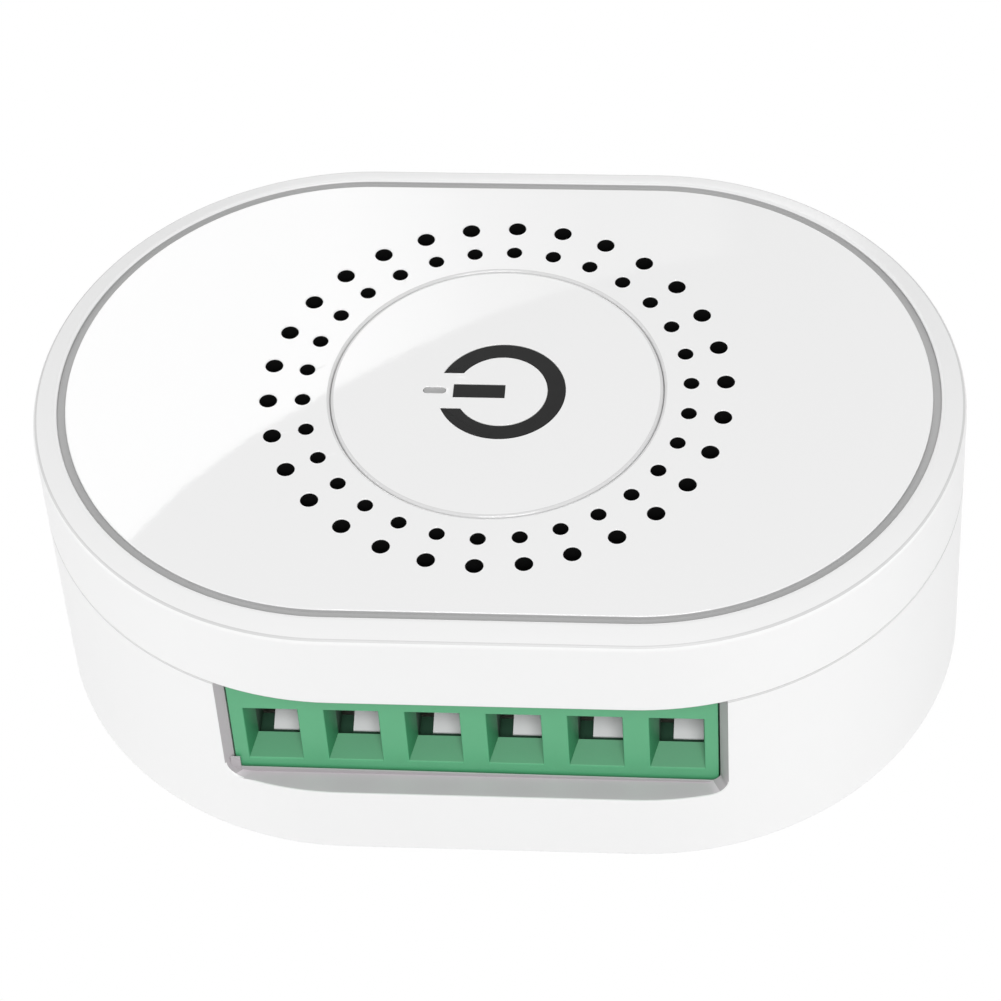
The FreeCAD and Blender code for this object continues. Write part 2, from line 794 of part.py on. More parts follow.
def tact_switch():
    body = middle_box("tact_block", "0", "0", "board_top", "tact_side", "tact_side", "tact_height")
    bore_radius = "plunger_radius + plunger_flange + 2 * plunger_gap"
    bore = rod("tact_bore", "0", "0", "dome_low", bore_radius, "tact_height")
    keep(cut("tact_case", body, [bore]), "tact_switch_body")
    plate = middle_box("tact_plate", "0", "0", "tact_up", "tact_side", "tact_side", "tact_cover_thick")
    eye = rod("tact_eye", "0", "0", "tact_up", "plunger_radius + plunger_gap", "tact_cover_thick")
    keep(cut("tact_lid", plate, [eye]), "tact_switch_cover")
    post = rod("plunger_post", "0", "0", "plunger_flange_low",
               "plunger_radius", "plunger_up - plunger_flange_low")
    foot = rod("plunger_foot", "0", "0", "plunger_flange_low",
               "plunger_radius + plunger_flange", "plunger_flange_thick")
    keep(fuse("plunger", [post, foot]), "tact_plunger")
    # snap dome: a thin shell of a sphere whose crown carries the plunger
    crown = "(dome_radius * dome_radius + dome_rise * dome_rise) / (2 * dome_rise)"
    shells = []
    for name, radius in (("dome_outer", crown), ("dome_inner", crown + " - dome_thick")):
        ball = doc.addObject("Part::Sphere", name)
        ball.setExpression("Radius", bound(radius))
        place(ball, "0", "0", "plunger_flange_low - " + crown)
        shells.append(ball)
    shell = cut("dome_shell", shells[0], [shells[1]])
    slab = rod("dome_slab", "0", "0", "dome_low", "dome_radius + dome_thick", "dome_rise")
    common = doc.addObject("Part::Common", "dome")
    common.Base = shell
    common.Tool = slab
    keep(common, "tact_dome")
    led = middle_box("led_block", "slit_x", "0", "board_top", "led_width", "led_length", "led_height")
    lens = rod("led_lens", "slit_x", "0", "board_top + led_height", "led_width / 2", "led_height / 4")
    keep(fuse("led", [led, lens]), "status_led")


# places of the square legs that pass through the board
board_legs = []


def legs(name, spots):
    # square legs from the board's underside to just above it
    solids = []
    for index, (x, y) in enumerate(spots, start=1):
        solids.append(middle_box("%s_leg_%d" % (name, index), x, y, "board_under",
                                 "leg_side", "leg_side", "pin_reach"))
        board_legs.append((x, y))
    return solids


def leg_pair(name, x, y, reach):
    # two legs on a line along X, each at its reach from the middle
    return legs(name, [("%s + %d * (%s)" % (x, side, reach), y) for side in (-1, 1)])


def hang(name, x, y, length, width, height):
    # a block that hangs under the board
    return middle_box(name, x, y, "board_under - (%s)" % height, length, width, height)


def relay(name, side):
    x = "%d * relay_spacing / 2" % side
    y = behind("relay_y")
    base = hang(name + "_block", x, y, "relay_length", deep("relay_width"), "relay_base")
    keep(base, name + "_base")
    low = "board_under - " + tall("relay_height")
    can = middle_box(name + "_can", x, y, low, "relay_length", deep("relay_width"),
                     tall("relay_height") + " - relay_base")
    can = soften(name + "_can_soft", can, "relay_round", upright)
    room = middle_box(name + "_room", x, y, low + " + relay_wall",
                      "relay_length - 2 * relay_wall", deep("relay_width") + " - 2 * relay_wall",
                      "relay_height")
    keep(cut(name + "_shell", can, [room]), name + "_cover")
    # yoke down one end, coil beside it, both held by the base
    yoke_x = "(%s - relay_length / 2 + 2 * relay_wall)" % x
    front = "%s - %s / 2" % (y, deep("armature_width"))
    yoke = box(name + "_yoke", yoke_x, front,
               "armature_up - armature_thick", "yoke_thick", deep("armature_width"),
               "board_under - relay_base - armature_up + armature_thick")
    coil_left = yoke_x + " + yoke_thick + fit_gap"
    coil = box(name + "_windings", coil_left, "%s - %s / 2" % (y, deep("relay_coil_width")),
               "relay_coil_low", "relay_coil_length", deep("relay_coil_width"),
               "relay_coil_height")
    keep(group(name + "_magnet", [yoke, coil]), name + "_coil")
    armature = box(name + "_plate", coil_left, front, "armature_up - armature_thick",
                   "armature_length", deep("armature_width"), "armature_thick")
    keep(armature, name + "_armature")
    reach = "(relay_length / 2 - relay_leg_inset)"
    spots = [(x, y)]
    for end in (-1, 1):
        for row in (-1, 1):
            spots.append(("%s + %d * %s" % (x, end, reach),
                          "%s + %d * %s / 2" % (y, row, deep("relay_leg_spread"))))
    # the fixed contact that the armature's free end meets
    post_low = "armature_up + contact_gap"
    post = box(name + "_fixed_contact", coil_left + " + armature_length - 2 * leg_side",
               y + " - leg_side / 2", post_low, "leg_side", "leg_side",
               "board_under - relay_base - armature_up - contact_gap")
    keep(group(name + "_legs", legs(name, spots) + [post]), name + "_pins")


def can_capacitor(name):
    radius = deep(name + "_radius")
    height = tall(name + "_height")
    x = along(name + "_x")
    y = behind(name + "_y")
    can = rod(name + "_can", x, y, "board_under - " + height, radius, height)
    pair = leg_pair(name, x, y, "%s - %s" % (radius, deep("can_leg_inset")))
    keep(group(name, [can] + pair), name + "_capacitor")


def hanging_parts():
    relay("light_relay", -1)
    relay("fan_relay", 1)
    x, y = along("film_x"), behind("film_y")
    film = hang("film_block", x, y, "film_length", deep("film_width"), tall("film_height"))
    film = soften("film_soft", film, "relay_round", upright)
    pair = leg_pair("film", x, y, "film_length / 2 - film_leg_inset")
    keep(group("film", [film] + pair), "film_capacitor")
    can_capacitor("bulk")
    can_capacitor("filter")
    x, y = along("varistor_x"), behind("varistor_y")
    radius = deep("varistor_radius")
    disc = rod("varistor_disc", x, y + " + varistor_thick / 2",
               "board_under - %s - solder_gap" % radius, radius, "varistor_thick", turn=(1, 0, 0))
    pair = leg_pair("varistor", x, y, radius + " / 2")
    keep(group("varistor_group", [disc] + pair), "varistor")
    radius = deep("fuse_radius")
    resistor = rod("fuse_rod", along("fuse_x") + " - fuse_length / 2", behind("fuse_y"),
                   "board_under - %s - solder_gap" % radius, radius, "fuse_length",
                   turn=(0, 1, 0))
    keep(resistor, "fuse_resistor")
    inductor()
    x, y = along("triac_x"), behind("triac_y")
    keep(hang("triac_block", x, y, "triac_length", deep("triac_width"), tall("triac_height")),
         "fan_triac")
    keep(hang("triac_plate", x, "%s + (%s + tab_thick) / 2" % (y, deep("triac_width")),
              "triac_length", "tab_thick", tall("tab_height")), "triac_tab")
    pair = [hang("opto_%s" % name, along("%d * opto_spacing / 2" % side), behind("opto_y"),
                 "opto_length", deep("opto_width"), "opto_height")
            for name, side in (("left", -1), ("right", 1))]
    keep(group("opto_pair", pair), "optocouplers")


def inductor():
    # a drum core with two flanges and the winding between them
    x, y = along("coil_x"), behind("coil_y")
    low = "board_under - coil_height"
    core = rod("coil_core_rod", x, y, low, deep("coil_core"), "coil_height")
    top = rod("coil_top", x, y, "board_under - coil_flange", deep("coil_radius"), "coil_flange")
    end = rod("coil_end", x, y, low, deep("coil_radius"), "coil_flange")
    keep(fuse("coil_drum", [core, top, end]), "inductor_core")
    turns = rod("coil_turns", x, y, low + " + coil_flange",
                deep("coil_radius") + " - fit_gap", "coil_height - 2 * coil_flange")
    hole = rod("coil_hole", x, y, low + " + coil_flange",
               deep("coil_core"), "coil_height - 2 * coil_flange")
    keep(cut("coil_winding", turns, [hole]), "inductor_winding")


def top_parts():
    x = along("chip_x")
    keep(middle_box("supply_block", x, behind("chip_y"), "board_top",
                    "chip_width", deep("chip_length"), "chip_height"), "supply_chip")
    keep(middle_box("bridge_block", x, behind("bridge_y"), "board_top",
                    "bridge_width", deep("bridge_length"), "bridge_height"), "bridge_rectifier")
    # radio module on two header strips
    length = round_end("radio_length")
    width = round_end("radio_width")
    headers = []
    for side in (-1, 1):
        end = "radio_x + %d * (%s - radio_header_width) / 2" % (side, length)
        headers.append(middle_box("header_%s" % ("inner" if side < 0 else "outer"), end,
                                  round_end("radio_header_y"), "board_top", "radio_header_width",
                                  round_end("radio_header_length"), "radio_lift"))
    keep(group("header_pair", headers), "radio_headers")
    keep(middle_box("radio_block", "radio_x", "0", "board_top + radio_lift",
                    length, width, "radio_thick"), "radio_board")
    radio_up = "board_top + radio_lift + radio_thick"
    inner_end = "radio_x - %s / 2 + 2 * fit_gap" % length
    shield = box("shield_block", inner_end, "-%s / 2" % round_end("shield_width"), radio_up,
                 round_end("shield_length"), round_end("shield_width"), "shield_height")
    keep(soften("shield_soft", shield, "relay_round", upright), "radio_shield")
    outer_end = "radio_x + %s / 2 - 2 * fit_gap" % length
    aerial = box("aerial_block", "%s - %s" % (outer_end, round_end("aerial_width")),
                 "-aerial_length / 2", radio_up,
                 round_end("aerial_width"), "aerial_length", "aerial_height")
    keep(aerial, "radio_aerial")
    small = []
    for side in (-1, 1):
        x = along("(chip_x + %d * small_chip_spacing / 2)" % side)
        for index in range(int(number("small_chip_count"))):
            step = "(%d - (small_chip_count - 1) / 2) * small_chip_pitch" % index
            small.append(middle_box("small_chip_%d" % (len(small) + 1), x,
                                    behind("(small_chip_y + %s)" % step), "board_top",
                                    "small_chip_length", "small_chip_width", "small_chip_height"))
    keep(group("small_chips", small), "chip_parts")


def cross_slot(name, x, y, z, deep):
    # the two blades of a cross recess in a screw's head
    return [middle_box(name + "_slot_along", x, y, z, "screw_slot_length", "screw_slot", deep),
            middle_box(name + "_slot_across", x, y, z, "screw_slot", "screw_slot_length", deep)]


def main_board():
    body = new_body("main_board")
    outline = new_sketch(body, "board_outline", level="board_under")
    draw_stadium(outline, "wall + board_gap")
    add_pad(body, outline, "board_thick")
    holes = new_sketch(body, "board_screw_holes", level="board_top")
    for side in (-1, 1):
        draw_circle(holes, "%d * post_x" % side, "-%d * post_line" % side, "board_hole_radius")
    add_pocket(body, holes, "board_thick")
    leg_holes = new_sketch(body, "board_leg_holes", level="board_top")
    for pole in poles:
        draw_circle(leg_holes, pole_x(pole), "tail_y", "pin_side * sqrt(2) / 2 + pin_hole_gap")
    for x, y in board_legs:
        draw_circle(leg_holes, x, y, "leg_side * sqrt(2) / 2 + pin_hole_gap")
    add_pocket(body, leg_holes, "board_thick")
    keep(body, "main_board")
    screws = []
    for side in (-1, 1):
        name = "board_screw_%d" % (1 if side < 0 else 2)
        x = "%d * post_x" % side
        y = "-%d * post_line" % side
        head = rod(name + "_head", x, y, "board_top", "board_screw_head", "board_screw_head_height")
        shank = rod(name + "_shank", x, y, "board_top - board_screw_length",
                    "pilot_radius - solder_gap", "board_screw_length")
        collar = rod(name + "_collar", x, y, "board_under", "board_screw_radius", "board_thick")
        slots = cross_slot(name, x, y, "board_top + board_screw_head_height / 2",
                           "board_screw_head_height")
        screws.append(cut(name, fuse(name + "_solid", [head, shank, collar]), slots))
    keep(group("board_screw_pair", screws), "board_screws")


def terminal_housing():
    block = middle_box("housing_block", "block_shift", "face_y + block_depth / 2", "floor_thick",
                       "block_width", "block_depth", "block_height")
    cutters = []
    for pole in poles:
        x = pole_x(pole)
        tag = "pole_%d" % (pole + 1)
        window_left = x + " - mouth_width / 2 + funnel_left"
        window_width = "mouth_width - funnel_left - funnel_right"
        # funnel from the mouth to the window behind it
        funnel = doc.addObject("Part::Wedge", tag + "_funnel")
        for key, text in (
                ("Xmin", x + " - mouth_width / 2"), ("Xmax", x + " + mouth_width / 2"),
                ("X2min", window_left), ("X2max", x + " + mouth_width / 2 - funnel_right"),
                ("Ymin", "face_y"), ("Ymax", "face_y + funnel_depth"),
                ("Zmin", "mouth_floor"), ("Zmax", "mouth_top"),
                ("Z2min", "window_floor"), ("Z2max", "mouth_top")):
            funnel.setExpression(key, bound(text))
        cutters.append(funnel)
        # passage from the window to the clamp chamber
        cutters.append(box(tag + "_passage", window_left, "face_y + funnel_depth", "contact_low",
                           window_width, "chamber_front - face_y", "mouth_top - contact_low"))
        cutters.append(middle_box(tag + "_chamber", x, "screw_y", "head_up",
                                  "chamber_width", "cage_depth + 2 * cage_gap",
                                  "cage_up + 3 * cage_gap - head_up"))
        cutters.append(rod(tag + "_driver", x, "screw_y", "floor_thick",
                           "driver_radius", "head_up - floor_thick"))
        cutters.append(box(tag + "_bar_slot", x + " - contact_width / 2", "screw_y",
                           "contact_low", "contact_width", "tail_y + pin_side / 2 - screw_y",
                           "contact_thick"))
        cutters.append(middle_box(tag + "_pin_slot", x, "tail_y", "contact_low",
                                  "pin_side", "pin_side", "block_height"))
    brow = middle_box("housing_brow", "block_shift", "face_y + brow_thick / 2", "board_under",
                      "block_width", "brow_thick", "parting - board_under - block_gap")
    solid = fuse("housing_solid", [block, brow])
    keep(cut("housing", solid, cutters), "terminal_block_housing")


def terminal_contacts():
    contacts = []
    for pole in poles:
        x = pole_x(pole)
        tag = "contact_%d" % (pole + 1)
        bar = box(tag + "_bar", x + " - contact_width / 2", "contact_front", "contact_low",
                  "contact_width", "tail_y + pin_side / 2 - contact_front", "contact_thick")
        tongue = box(tag + "_tongue", x + " - tongue_left", "face_y + funnel_depth", "contact_low",
                     "mouth_width / 2 - funnel_right + tongue_left",
                     "contact_front - face_y - funnel_depth", "contact_thick")
        tail = middle_box(tag + "_tail", x, "tail_y", "contact_low",
                          "pin_side", "pin_side", "board_top + pin_proud - contact_low")
        contacts.append(fuse(tag, [bar, tongue, tail]))
    keep(group("contacts", contacts), "terminal_contacts")


def terminal_screw(pole):
    x = pole_x(pole)
    tag = "screw_%d" % (pole + 1)
    head = rod(tag + "_head", x, "screw_y", "head_low", "screw_head", "screw_head_height")
    shank = rod(tag + "_shank", x, "screw_y", "head_up",
                "screw_radius", "nut_up + cage_gap / 2 - head_up")
    slots = cross_slot(tag, x, "screw_y", "head_low", "screw_slot_deep")
    keep(cut(tag, fuse(tag + "_solid", [head, shank]), slots), "terminal_screw_%d" % (pole + 1))


def clamp_cage(pole):
    x = pole_x(pole)
    tag = "cage_%d" % (pole + 1)
    frame = middle_box(tag + "_frame", x, "screw_y", "nut_low",
                       "cage_width", "cage_depth", "cage_up - nut_low")
    window = middle_box(tag + "_window", x, "screw_y", "nut_up",
                        "cage_width - 2 * cage_wall", "cage_depth", "cage_up - cage_top - nut_up")
    hole = rod(tag + "_hole", x, "screw_y", "nut_low", "screw_radius + thread_gap", "cage_nut")
    keep(cut(tag, frame, [window, hole]), "clamp_cage_%d" % (pole + 1))


bottom_shell()
top_cover()
face_plate()
button()
tact_switch()
hanging_parts()
top_parts()
main_board()
terminal_housing()
terminal_contacts()
for pole in poles:
    terminal_screw(pole)
    clamp_cage(pole)
doc.recompute()

# Every object is sound before anything is written
for thing in doc.Objects:
    if "Invalid" in thing.State or "Error" in thing.State:
        raise ValueError("%s did not build" % thing.Label)
for piece in subparts:
    if piece.Shape.isNull() or not piece.Shape.isValid():
        raise ValueError("%s is not a valid shape" % piece.Label)

os.makedirs("parts", exist_ok=True)
for piece in subparts:
    piece.Shape.exportStep("parts/%s.step" % piece.Label)
    print("%-26s %2d solids %9.2f mm3" % (piece.Label, len(piece.Shape.Solids), piece.Shape.Volume))
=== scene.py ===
import bpy
import bmesh
import json
import math
from mathutils import Matrix, Vector


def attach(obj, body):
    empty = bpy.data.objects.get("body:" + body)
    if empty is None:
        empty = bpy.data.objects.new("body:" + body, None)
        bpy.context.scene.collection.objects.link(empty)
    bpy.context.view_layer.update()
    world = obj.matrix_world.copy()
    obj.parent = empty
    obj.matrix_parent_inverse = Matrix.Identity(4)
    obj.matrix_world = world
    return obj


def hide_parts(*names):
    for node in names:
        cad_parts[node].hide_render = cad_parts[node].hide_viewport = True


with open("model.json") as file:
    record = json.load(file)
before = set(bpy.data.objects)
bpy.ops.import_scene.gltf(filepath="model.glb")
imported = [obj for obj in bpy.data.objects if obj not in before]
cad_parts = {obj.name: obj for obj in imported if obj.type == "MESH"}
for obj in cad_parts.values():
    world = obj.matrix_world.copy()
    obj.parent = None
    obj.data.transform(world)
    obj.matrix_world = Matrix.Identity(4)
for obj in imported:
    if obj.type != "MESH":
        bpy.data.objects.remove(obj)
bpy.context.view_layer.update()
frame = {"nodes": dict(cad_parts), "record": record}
mm = 0.001
touch = 0.01  # places this close, in millimetres, are the same
near = 0.02  # and these are, on round edges
past = 1  # how far cutters reach beyond what they cut
longRun = 1  # an edge that goes further than this one way runs that way
faceUp = 0.999  # faces whose normal rises more than this are level
print("frame loaded,", len(frame["nodes"]), "nodes")


# hand tools: every piece starts as a primitive and is worked in edit mode

def startWith(primitive, name, **places):
    bpy.ops.object.select_all(action="DESELECT")
    primitive(**places)
    piece = bpy.context.active_object
    piece.name = piece.data.name = name
    return piece


def atHand(piece):
    bpy.ops.object.select_all(action="DESELECT")
    bpy.context.view_layer.objects.active = piece
    piece.select_set(True)


def settle(piece):
    # puts the piece's place into its mesh
    atHand(piece)
    bpy.ops.object.transform_apply(location=True, rotation=True, scale=True)
    return piece


def work(piece, kind="FACE"):
    atHand(piece)
    bpy.ops.object.mode_set(mode="EDIT")
    bpy.ops.mesh.select_mode(type=kind)
    bpy.ops.mesh.select_all(action="DESELECT")


def done(piece):
    bpy.ops.object.mode_set(mode="OBJECT")
    return piece


def takeAll():
    bpy.ops.mesh.select_all(action="SELECT")


def weld(gap=0.001):
    # merges the corners that meet within a gap, in millimetres
    takeAll()
    bpy.ops.mesh.remove_doubles(threshold=gap * mm)


def closeUp(gap=0.001):
    weld(gap)
    bpy.ops.mesh.normals_make_consistent(inside=False)


def choose(piece, kind, test):
    # selects the parts of the mesh that pass a test
    mesh = bmesh.from_edit_mesh(piece.data)
    bpy.ops.mesh.select_all(action="DESELECT")
    mesh.select_mode = {kind}
    count = 0
    parts = {"FACE": mesh.faces, "EDGE": mesh.edges, "VERT": mesh.verts}[kind]
    for part in parts:
        if test(part):
            part.select_set(True)
            count += 1
    mesh.select_flush_mode()
    bmesh.update_edit_mesh(piece.data)
    return count


def pick(piece, test):
    # selects the corners whose places pass a test
    choose(piece, "VERT", lambda vert: test(vert.co / mm))


def corners(part):
    # the places of a part's corners, in millimetres
    return [vert.co / mm for vert in part.verts]


def centre(part):
    places = corners(part)
    return sum(places, Vector()) / len(places)


def every(part, test):
    return all(map(test, corners(part)))


def flatAt(level):
    return lambda part: every(part, lambda place: abs(place.z - level) < touch)


def along(edge):
    # the way from one end of an edge to the other, in millimetres
    ends = corners(edge)
    return ends[1] - ends[0]


def upright(edge):
    return along(edge).xy.length < touch


def frontToBack(edge):
    return abs(along(edge).y) > longRun


def anyEdge(edge):
    return True


def lift(height):
    bpy.ops.mesh.extrude_region_move(TRANSFORM_OT_translate={"value": (0, 0, height * mm)})


def thicken(piece, height):
    # keeps a flat piece as the underside and lifts a copy of it
    work(piece)
    takeAll()
    bpy.ops.mesh.duplicate()
    lift(height)


def drawIn(width, rise=0.0):
    bpy.ops.mesh.inset(thickness=width * mm, depth=rise * mm, use_even_offset=True)


def shift(x=0, y=0, z=0):
    # moves what is selected, in millimetres
    bpy.ops.transform.translate(value=(x * mm, y * mm, z * mm))


def roundOff(piece, test, size, steps=3):
    work(piece, "EDGE")
    if choose(piece, "EDGE", test):
        bpy.ops.mesh.bevel(offset=size * mm, segments=steps, affect="EDGES")
    return done(piece)


def carve(piece, cutter, operation="DIFFERENCE"):
    settle(piece)
    change = piece.modifiers.new("carve", "BOOLEAN")
    change.object = cutter
    change.operation = operation
    change.solver = "EXACT"
    bpy.ops.object.modifier_apply(modifier="carve")
    bpy.data.objects.remove(cutter)
    return piece


def tidyUp(piece, angle=32):
    # merges doubles, points the faces outwards and smooths all but the true edges
    work(piece, "VERT")
    closeUp(0.0004)
    done(piece)
    bpy.ops.object.shade_smooth_by_angle(angle=math.radians(angle))
    even = piece.modifiers.new("even", "WEIGHTED_NORMAL")
    even.keep_sharp = True
    bpy.ops.object.modifier_apply(modifier="even")
    return piece


def join(pieces, name):
    bpy.ops.object.select_all(action="DESELECT")
    for piece in pieces:
        piece.select_set(True)
    bpy.context.view_layer.objects.active = pieces[0]
    bpy.ops.object.join()
    pieces[0].name = pieces[0].data.name = name
    return pieces[0]


def block(name, low, high):
    # a box between two corners, in millimetres
    middle = [(a + b) / 2 * mm for a, b in zip(low, high)]
    size = [(b - a) * mm for a, b in zip(low, high)]
    piece = startWith(bpy.ops.mesh.primitive_cube_add, name, size=1, location=middle)
    piece.scale = size
    return settle(piece)


def bar(name, x, y, low, high, radius, sides=48):
    # an upright round bar
    piece = startWith(bpy.ops.mesh.primitive_cylinder_add, name, vertices=sides,
                      radius=radius * mm, depth=(high - low) * mm,
                      location=(x * mm, y * mm, (low + high) / 2 * mm))
    return settle(piece)


def stadium(name, length, depth, level, steps=40):
    # a flat plate with two half-round ends, made by rounding a rectangle's corners
    piece = startWith(bpy.ops.mesh.primitive_plane_add, name, size=1, location=(0, 0, level * mm))
    piece.scale = (length * mm, depth * mm, 1)
    settle(piece)
    work(piece, "VERT")
    takeAll()
    bpy.ops.mesh.bevel(offset=depth / 2 * mm, segments=steps, affect="VERTICES")
    weld()
    return done(piece)


def dress(piece, index, look, test):
    # gives the faces that pass a test a finish of their own
    while len(piece.data.materials) <= index:
        piece.data.materials.append(looks[look].material)
    piece.data.materials[index] = looks[look].material
    work(piece)
    choose(piece, "FACE", test)
    piece.active_material_index = index
    bpy.ops.object.material_slot_assign()
    return done(piece)


def finish(piece, body, slot, look, *stoodFor):
    piece.data.materials.clear()
    piece.data.materials.append(looks[look].material)
    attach(piece, body)
    if stoodFor:
        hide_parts(*stoodFor)
    return piece


# finishes

class Wire:
    # a socket of a node tree that takes part in sums
    def __init__(self, tree, socket=None):
        self.tree = tree
        self.socket = socket

    def node(self, kind, settings=None, inputs=None, output=0):
        made = self.tree.nodes.new("ShaderNode" + kind)
        for name, value in (settings or {}).items():
            if name == "stops":
                ramp = made.color_ramp
                ramp.elements.remove(ramp.elements[1])
                ramp.elements[0].position = value[0][0]
                ramp.elements[0].color = value[0][1]
                for place, colour in value[1:]:
                    ramp.elements.new(place).color = colour
            else:
                setattr(made, name, value)
        for name, value in (inputs or {}).items():
            if isinstance(value, Wire):
                self.tree.links.new(value.socket, made.inputs[name])
            else:
                made.inputs[name].default_value = value
        return Wire(self.tree, made.outputs[output])

    def maths(self, operation, first, second=0.0):
        return self.node("Math", {"operation": operation}, {0: first, 1: second})

    def __add__(self, other):
        return self.maths("ADD", self, other)

    __radd__ = __add__

    def __mul__(self, other):
        return self.maths("MULTIPLY", self, other)

    __rmul__ = __mul__


class Finish:
    # a material with its principled shader and the piece's own coordinates
    def __init__(self, name, **constants):
        self.material = bpy.data.materials.new(name)
        self.material.use_nodes = True
        self.tree = self.material.node_tree
        self.shader = self.tree.nodes["Principled BSDF"]
        for socket, value in constants.items():
            self.shader.inputs[socket.replace("_", " ")].default_value = value
        self.start = Wire(self.tree)
        self.place = self.start.node("TexCoord", output="Object")

    def axes(self):
        split = self.start.node("SeparateXYZ", inputs={0: self.place})
        outs = split.socket.node.outputs
        return [Wire(self.tree, outs[index]) for index in range(3)]

    def noise(self, size, detail=2.0, stretch=None):
        # cloudy values from 0 to 1; size is that of one cloud in millimetres
        place = self.place
        if stretch:
            place = self.start.node("Mapping", inputs={"Vector": place, "Scale": stretch})
        return self.start.node("TexNoise", inputs={"Vector": place, "Scale": 1 / (size * mm),
                                                   "Detail": detail})

    def mix(self, share, first, second):
        # a colour between two colours
        return self.start.node("Mix", {"data_type": "RGBA"}, {0: share, 6: first, 7: second}, 2)

    def put(self, socket, value):
        self.tree.links.new(value.socket, self.shader.inputs[socket])

    def bump(self, height, depth):
        # raises the surface by height times depth, in millimetres
        self.put("Normal", self.start.node("Bump", inputs={"Height": height, "Distance": depth * mm,
                                                           "Strength": 1.0}))


def grey(value, tint=(1, 1, 1)):
    return tuple(value * part for part in tint) + (1.0,)


# shares of grain, streaks and stains in the gloss of plastic and metal
wear = {"grain": 0.3, "even": 0.85, "stainSize": 2.2, "dull": 0.78,
        "streaks": 0.2, "stains": 0.1, "ease": 0.15}


def mouldedFinish(name, colour, variation, roughness, cloud, grain, grainDepth, **constants):
    # moulded plastic: slow change of shade, fine surface grain and uneven gloss
    made = Finish(name, **constants)
    slow = made.noise(cloud)
    fine = made.noise(grain, detail=3.0)
    low = tuple(part * (1 - variation) for part in colour[:3]) + (1.0,)
    high = tuple(min(1.0, part * (1 + variation)) for part in colour[:3]) + (1.0,)
    made.put("Base Color", made.mix(slow, low, high))
    made.put("Roughness", fine * (roughness * wear["grain"]) + roughness * wear["even"])
    made.bump(fine, grainDepth)
    return made


def metalFinish(name, colour, roughness, grain, stretch, depth):
    # rolled or plated metal: streaks along one direction and stains
    made = Finish(name, Metallic=1.0)
    streaks = made.noise(grain, detail=4.0, stretch=stretch)
    stains = made.noise(wear["stainSize"])
    dull = tuple(part * wear["dull"] for part in colour[:3]) + (1.0,)
    made.put("Base Color", made.mix(stains, dull, colour))
    made.put("Roughness", streaks * wear["streaks"] + stains * wear["stains"]
             + (roughness - wear["ease"]))
    made.bump(streaks, depth)
    return made


def paint(red, green, blue):
    return (red, green, blue, 1.0)


# colour, change of shade, roughness, and in millimetres the size of clouds, size and depth of grain
moulded = {
    "caseWhite": (grey(0.84), 0.008, 0.3, 9, 0.16, 0.0006),
    # painted shade on the ledge round the terminal block, where it faces up
    "revealGrey": (grey(0.55, (1.02, 0.95, 1)), 0.02, 0.45, 6, 0.14, 0.001),
    # painted shade in the groove round the face plate
    "grooveGrey": (grey(0.46), 0.02, 0.5, 6, 0.14, 0.001),
    # painted shade on the rounded edges at the button's seam
    "palerGrey": (grey(0.7), 0.01, 0.12, 14, 0.5, 0.0003),
    # painted shade on the upright flared sides round the terminal block
    "sideGrey": (grey(0.42, (1.02, 0.96, 1)), 0.02, 0.45, 6, 0.14, 0.001),
    # painted shade on the sloped corner faces round the terminal block, darkest of the three
    "cornerGrey": (grey(0.36, (1.02, 0.96, 1)), 0.02, 0.45, 6, 0.14, 0.001),
    # painted shade along the parting line and the rim's outer edge
    "seamGrey": (grey(0.62), 0.01, 0.4, 9, 0.16, 0.0006),
    "plateWhite": (grey(0.885), 0.006, 0.02, 14, 0.5, 0.0003),
    "labelWhite": (grey(0.8, (1, 0.995, 0.98)), 0.02, 0.6, 2, 0.08, 0.004),
    "symbolBlack": (grey(0.014), 0.2, 0.3, 1.5, 0.12, 0.0008),
    "pipeGrey": (grey(0.36), 0.06, 0.25, 0.5, 0.1, 0.0005),
    # on the vent bores' walls, boreBlack is painted shade
    "boreBlack": (grey(0.006), 0.3, 0.75, 0.4, 0.05, 0.002),
    "mouldingBlack": (grey(0.03), 0.15, 0.55, 1.5, 0.06, 0.003),
    "terminalGreen": (paint(0.089, 0.385, 0.187), 0.04, 0.38, 2.5, 0.12, 0.0015),
    # painted shade inside the wire entries: darker green in the funnels, darkest in the passages behind them
    "mouthGreen": (paint(0.035, 0.235, 0.1), 0.05, 0.5, 2.5, 0.1, 0.002),
    "passageGreen": (paint(0.024, 0.08, 0.045), 0.08, 0.6, 2.5, 0.1, 0.002),
    "relayBlue": (paint(0.03, 0.13, 0.42), 0.06, 0.3, 4, 0.1, 0.001),
    "filmYellow": (paint(0.8, 0.5, 0.04), 0.04, 0.35, 4, 0.1, 0.001),
    "canSleeve": (paint(0.02, 0.04, 0.16), 0.15, 0.25, 3, 0.15, 0.001),
    "varistorBlue": (paint(0.03, 0.15, 0.5), 0.12, 0.35, 1, 0.3, 0.01),
    "resistorGrey": (paint(0.3, 0.36, 0.33), 0.1, 0.7, 1, 0.1, 0.006),
    "ferrite": (grey(0.045), 0.2, 0.6, 1, 0.08, 0.005),
    "ceramic": (paint(0.62, 0.54, 0.42), 0.08, 0.5, 0.8, 0.06, 0.002),
    "ledBody": (paint(0.85, 0.8, 0.55), 0.05, 0.2, 0.5, 0.1, 0.001),
    "boardGreen": (paint(0.02, 0.2, 0.07), 0.15, 0.35, 3, 0.2, 0.002),
    "contactTin": (grey(0.94, (0.99, 0.99, 1)), 0.03, 0.4, 1.2, 0.09, 0.0015),
}
dullShine = {"symbolBlack": 0.12, "boreBlack": 0.05}
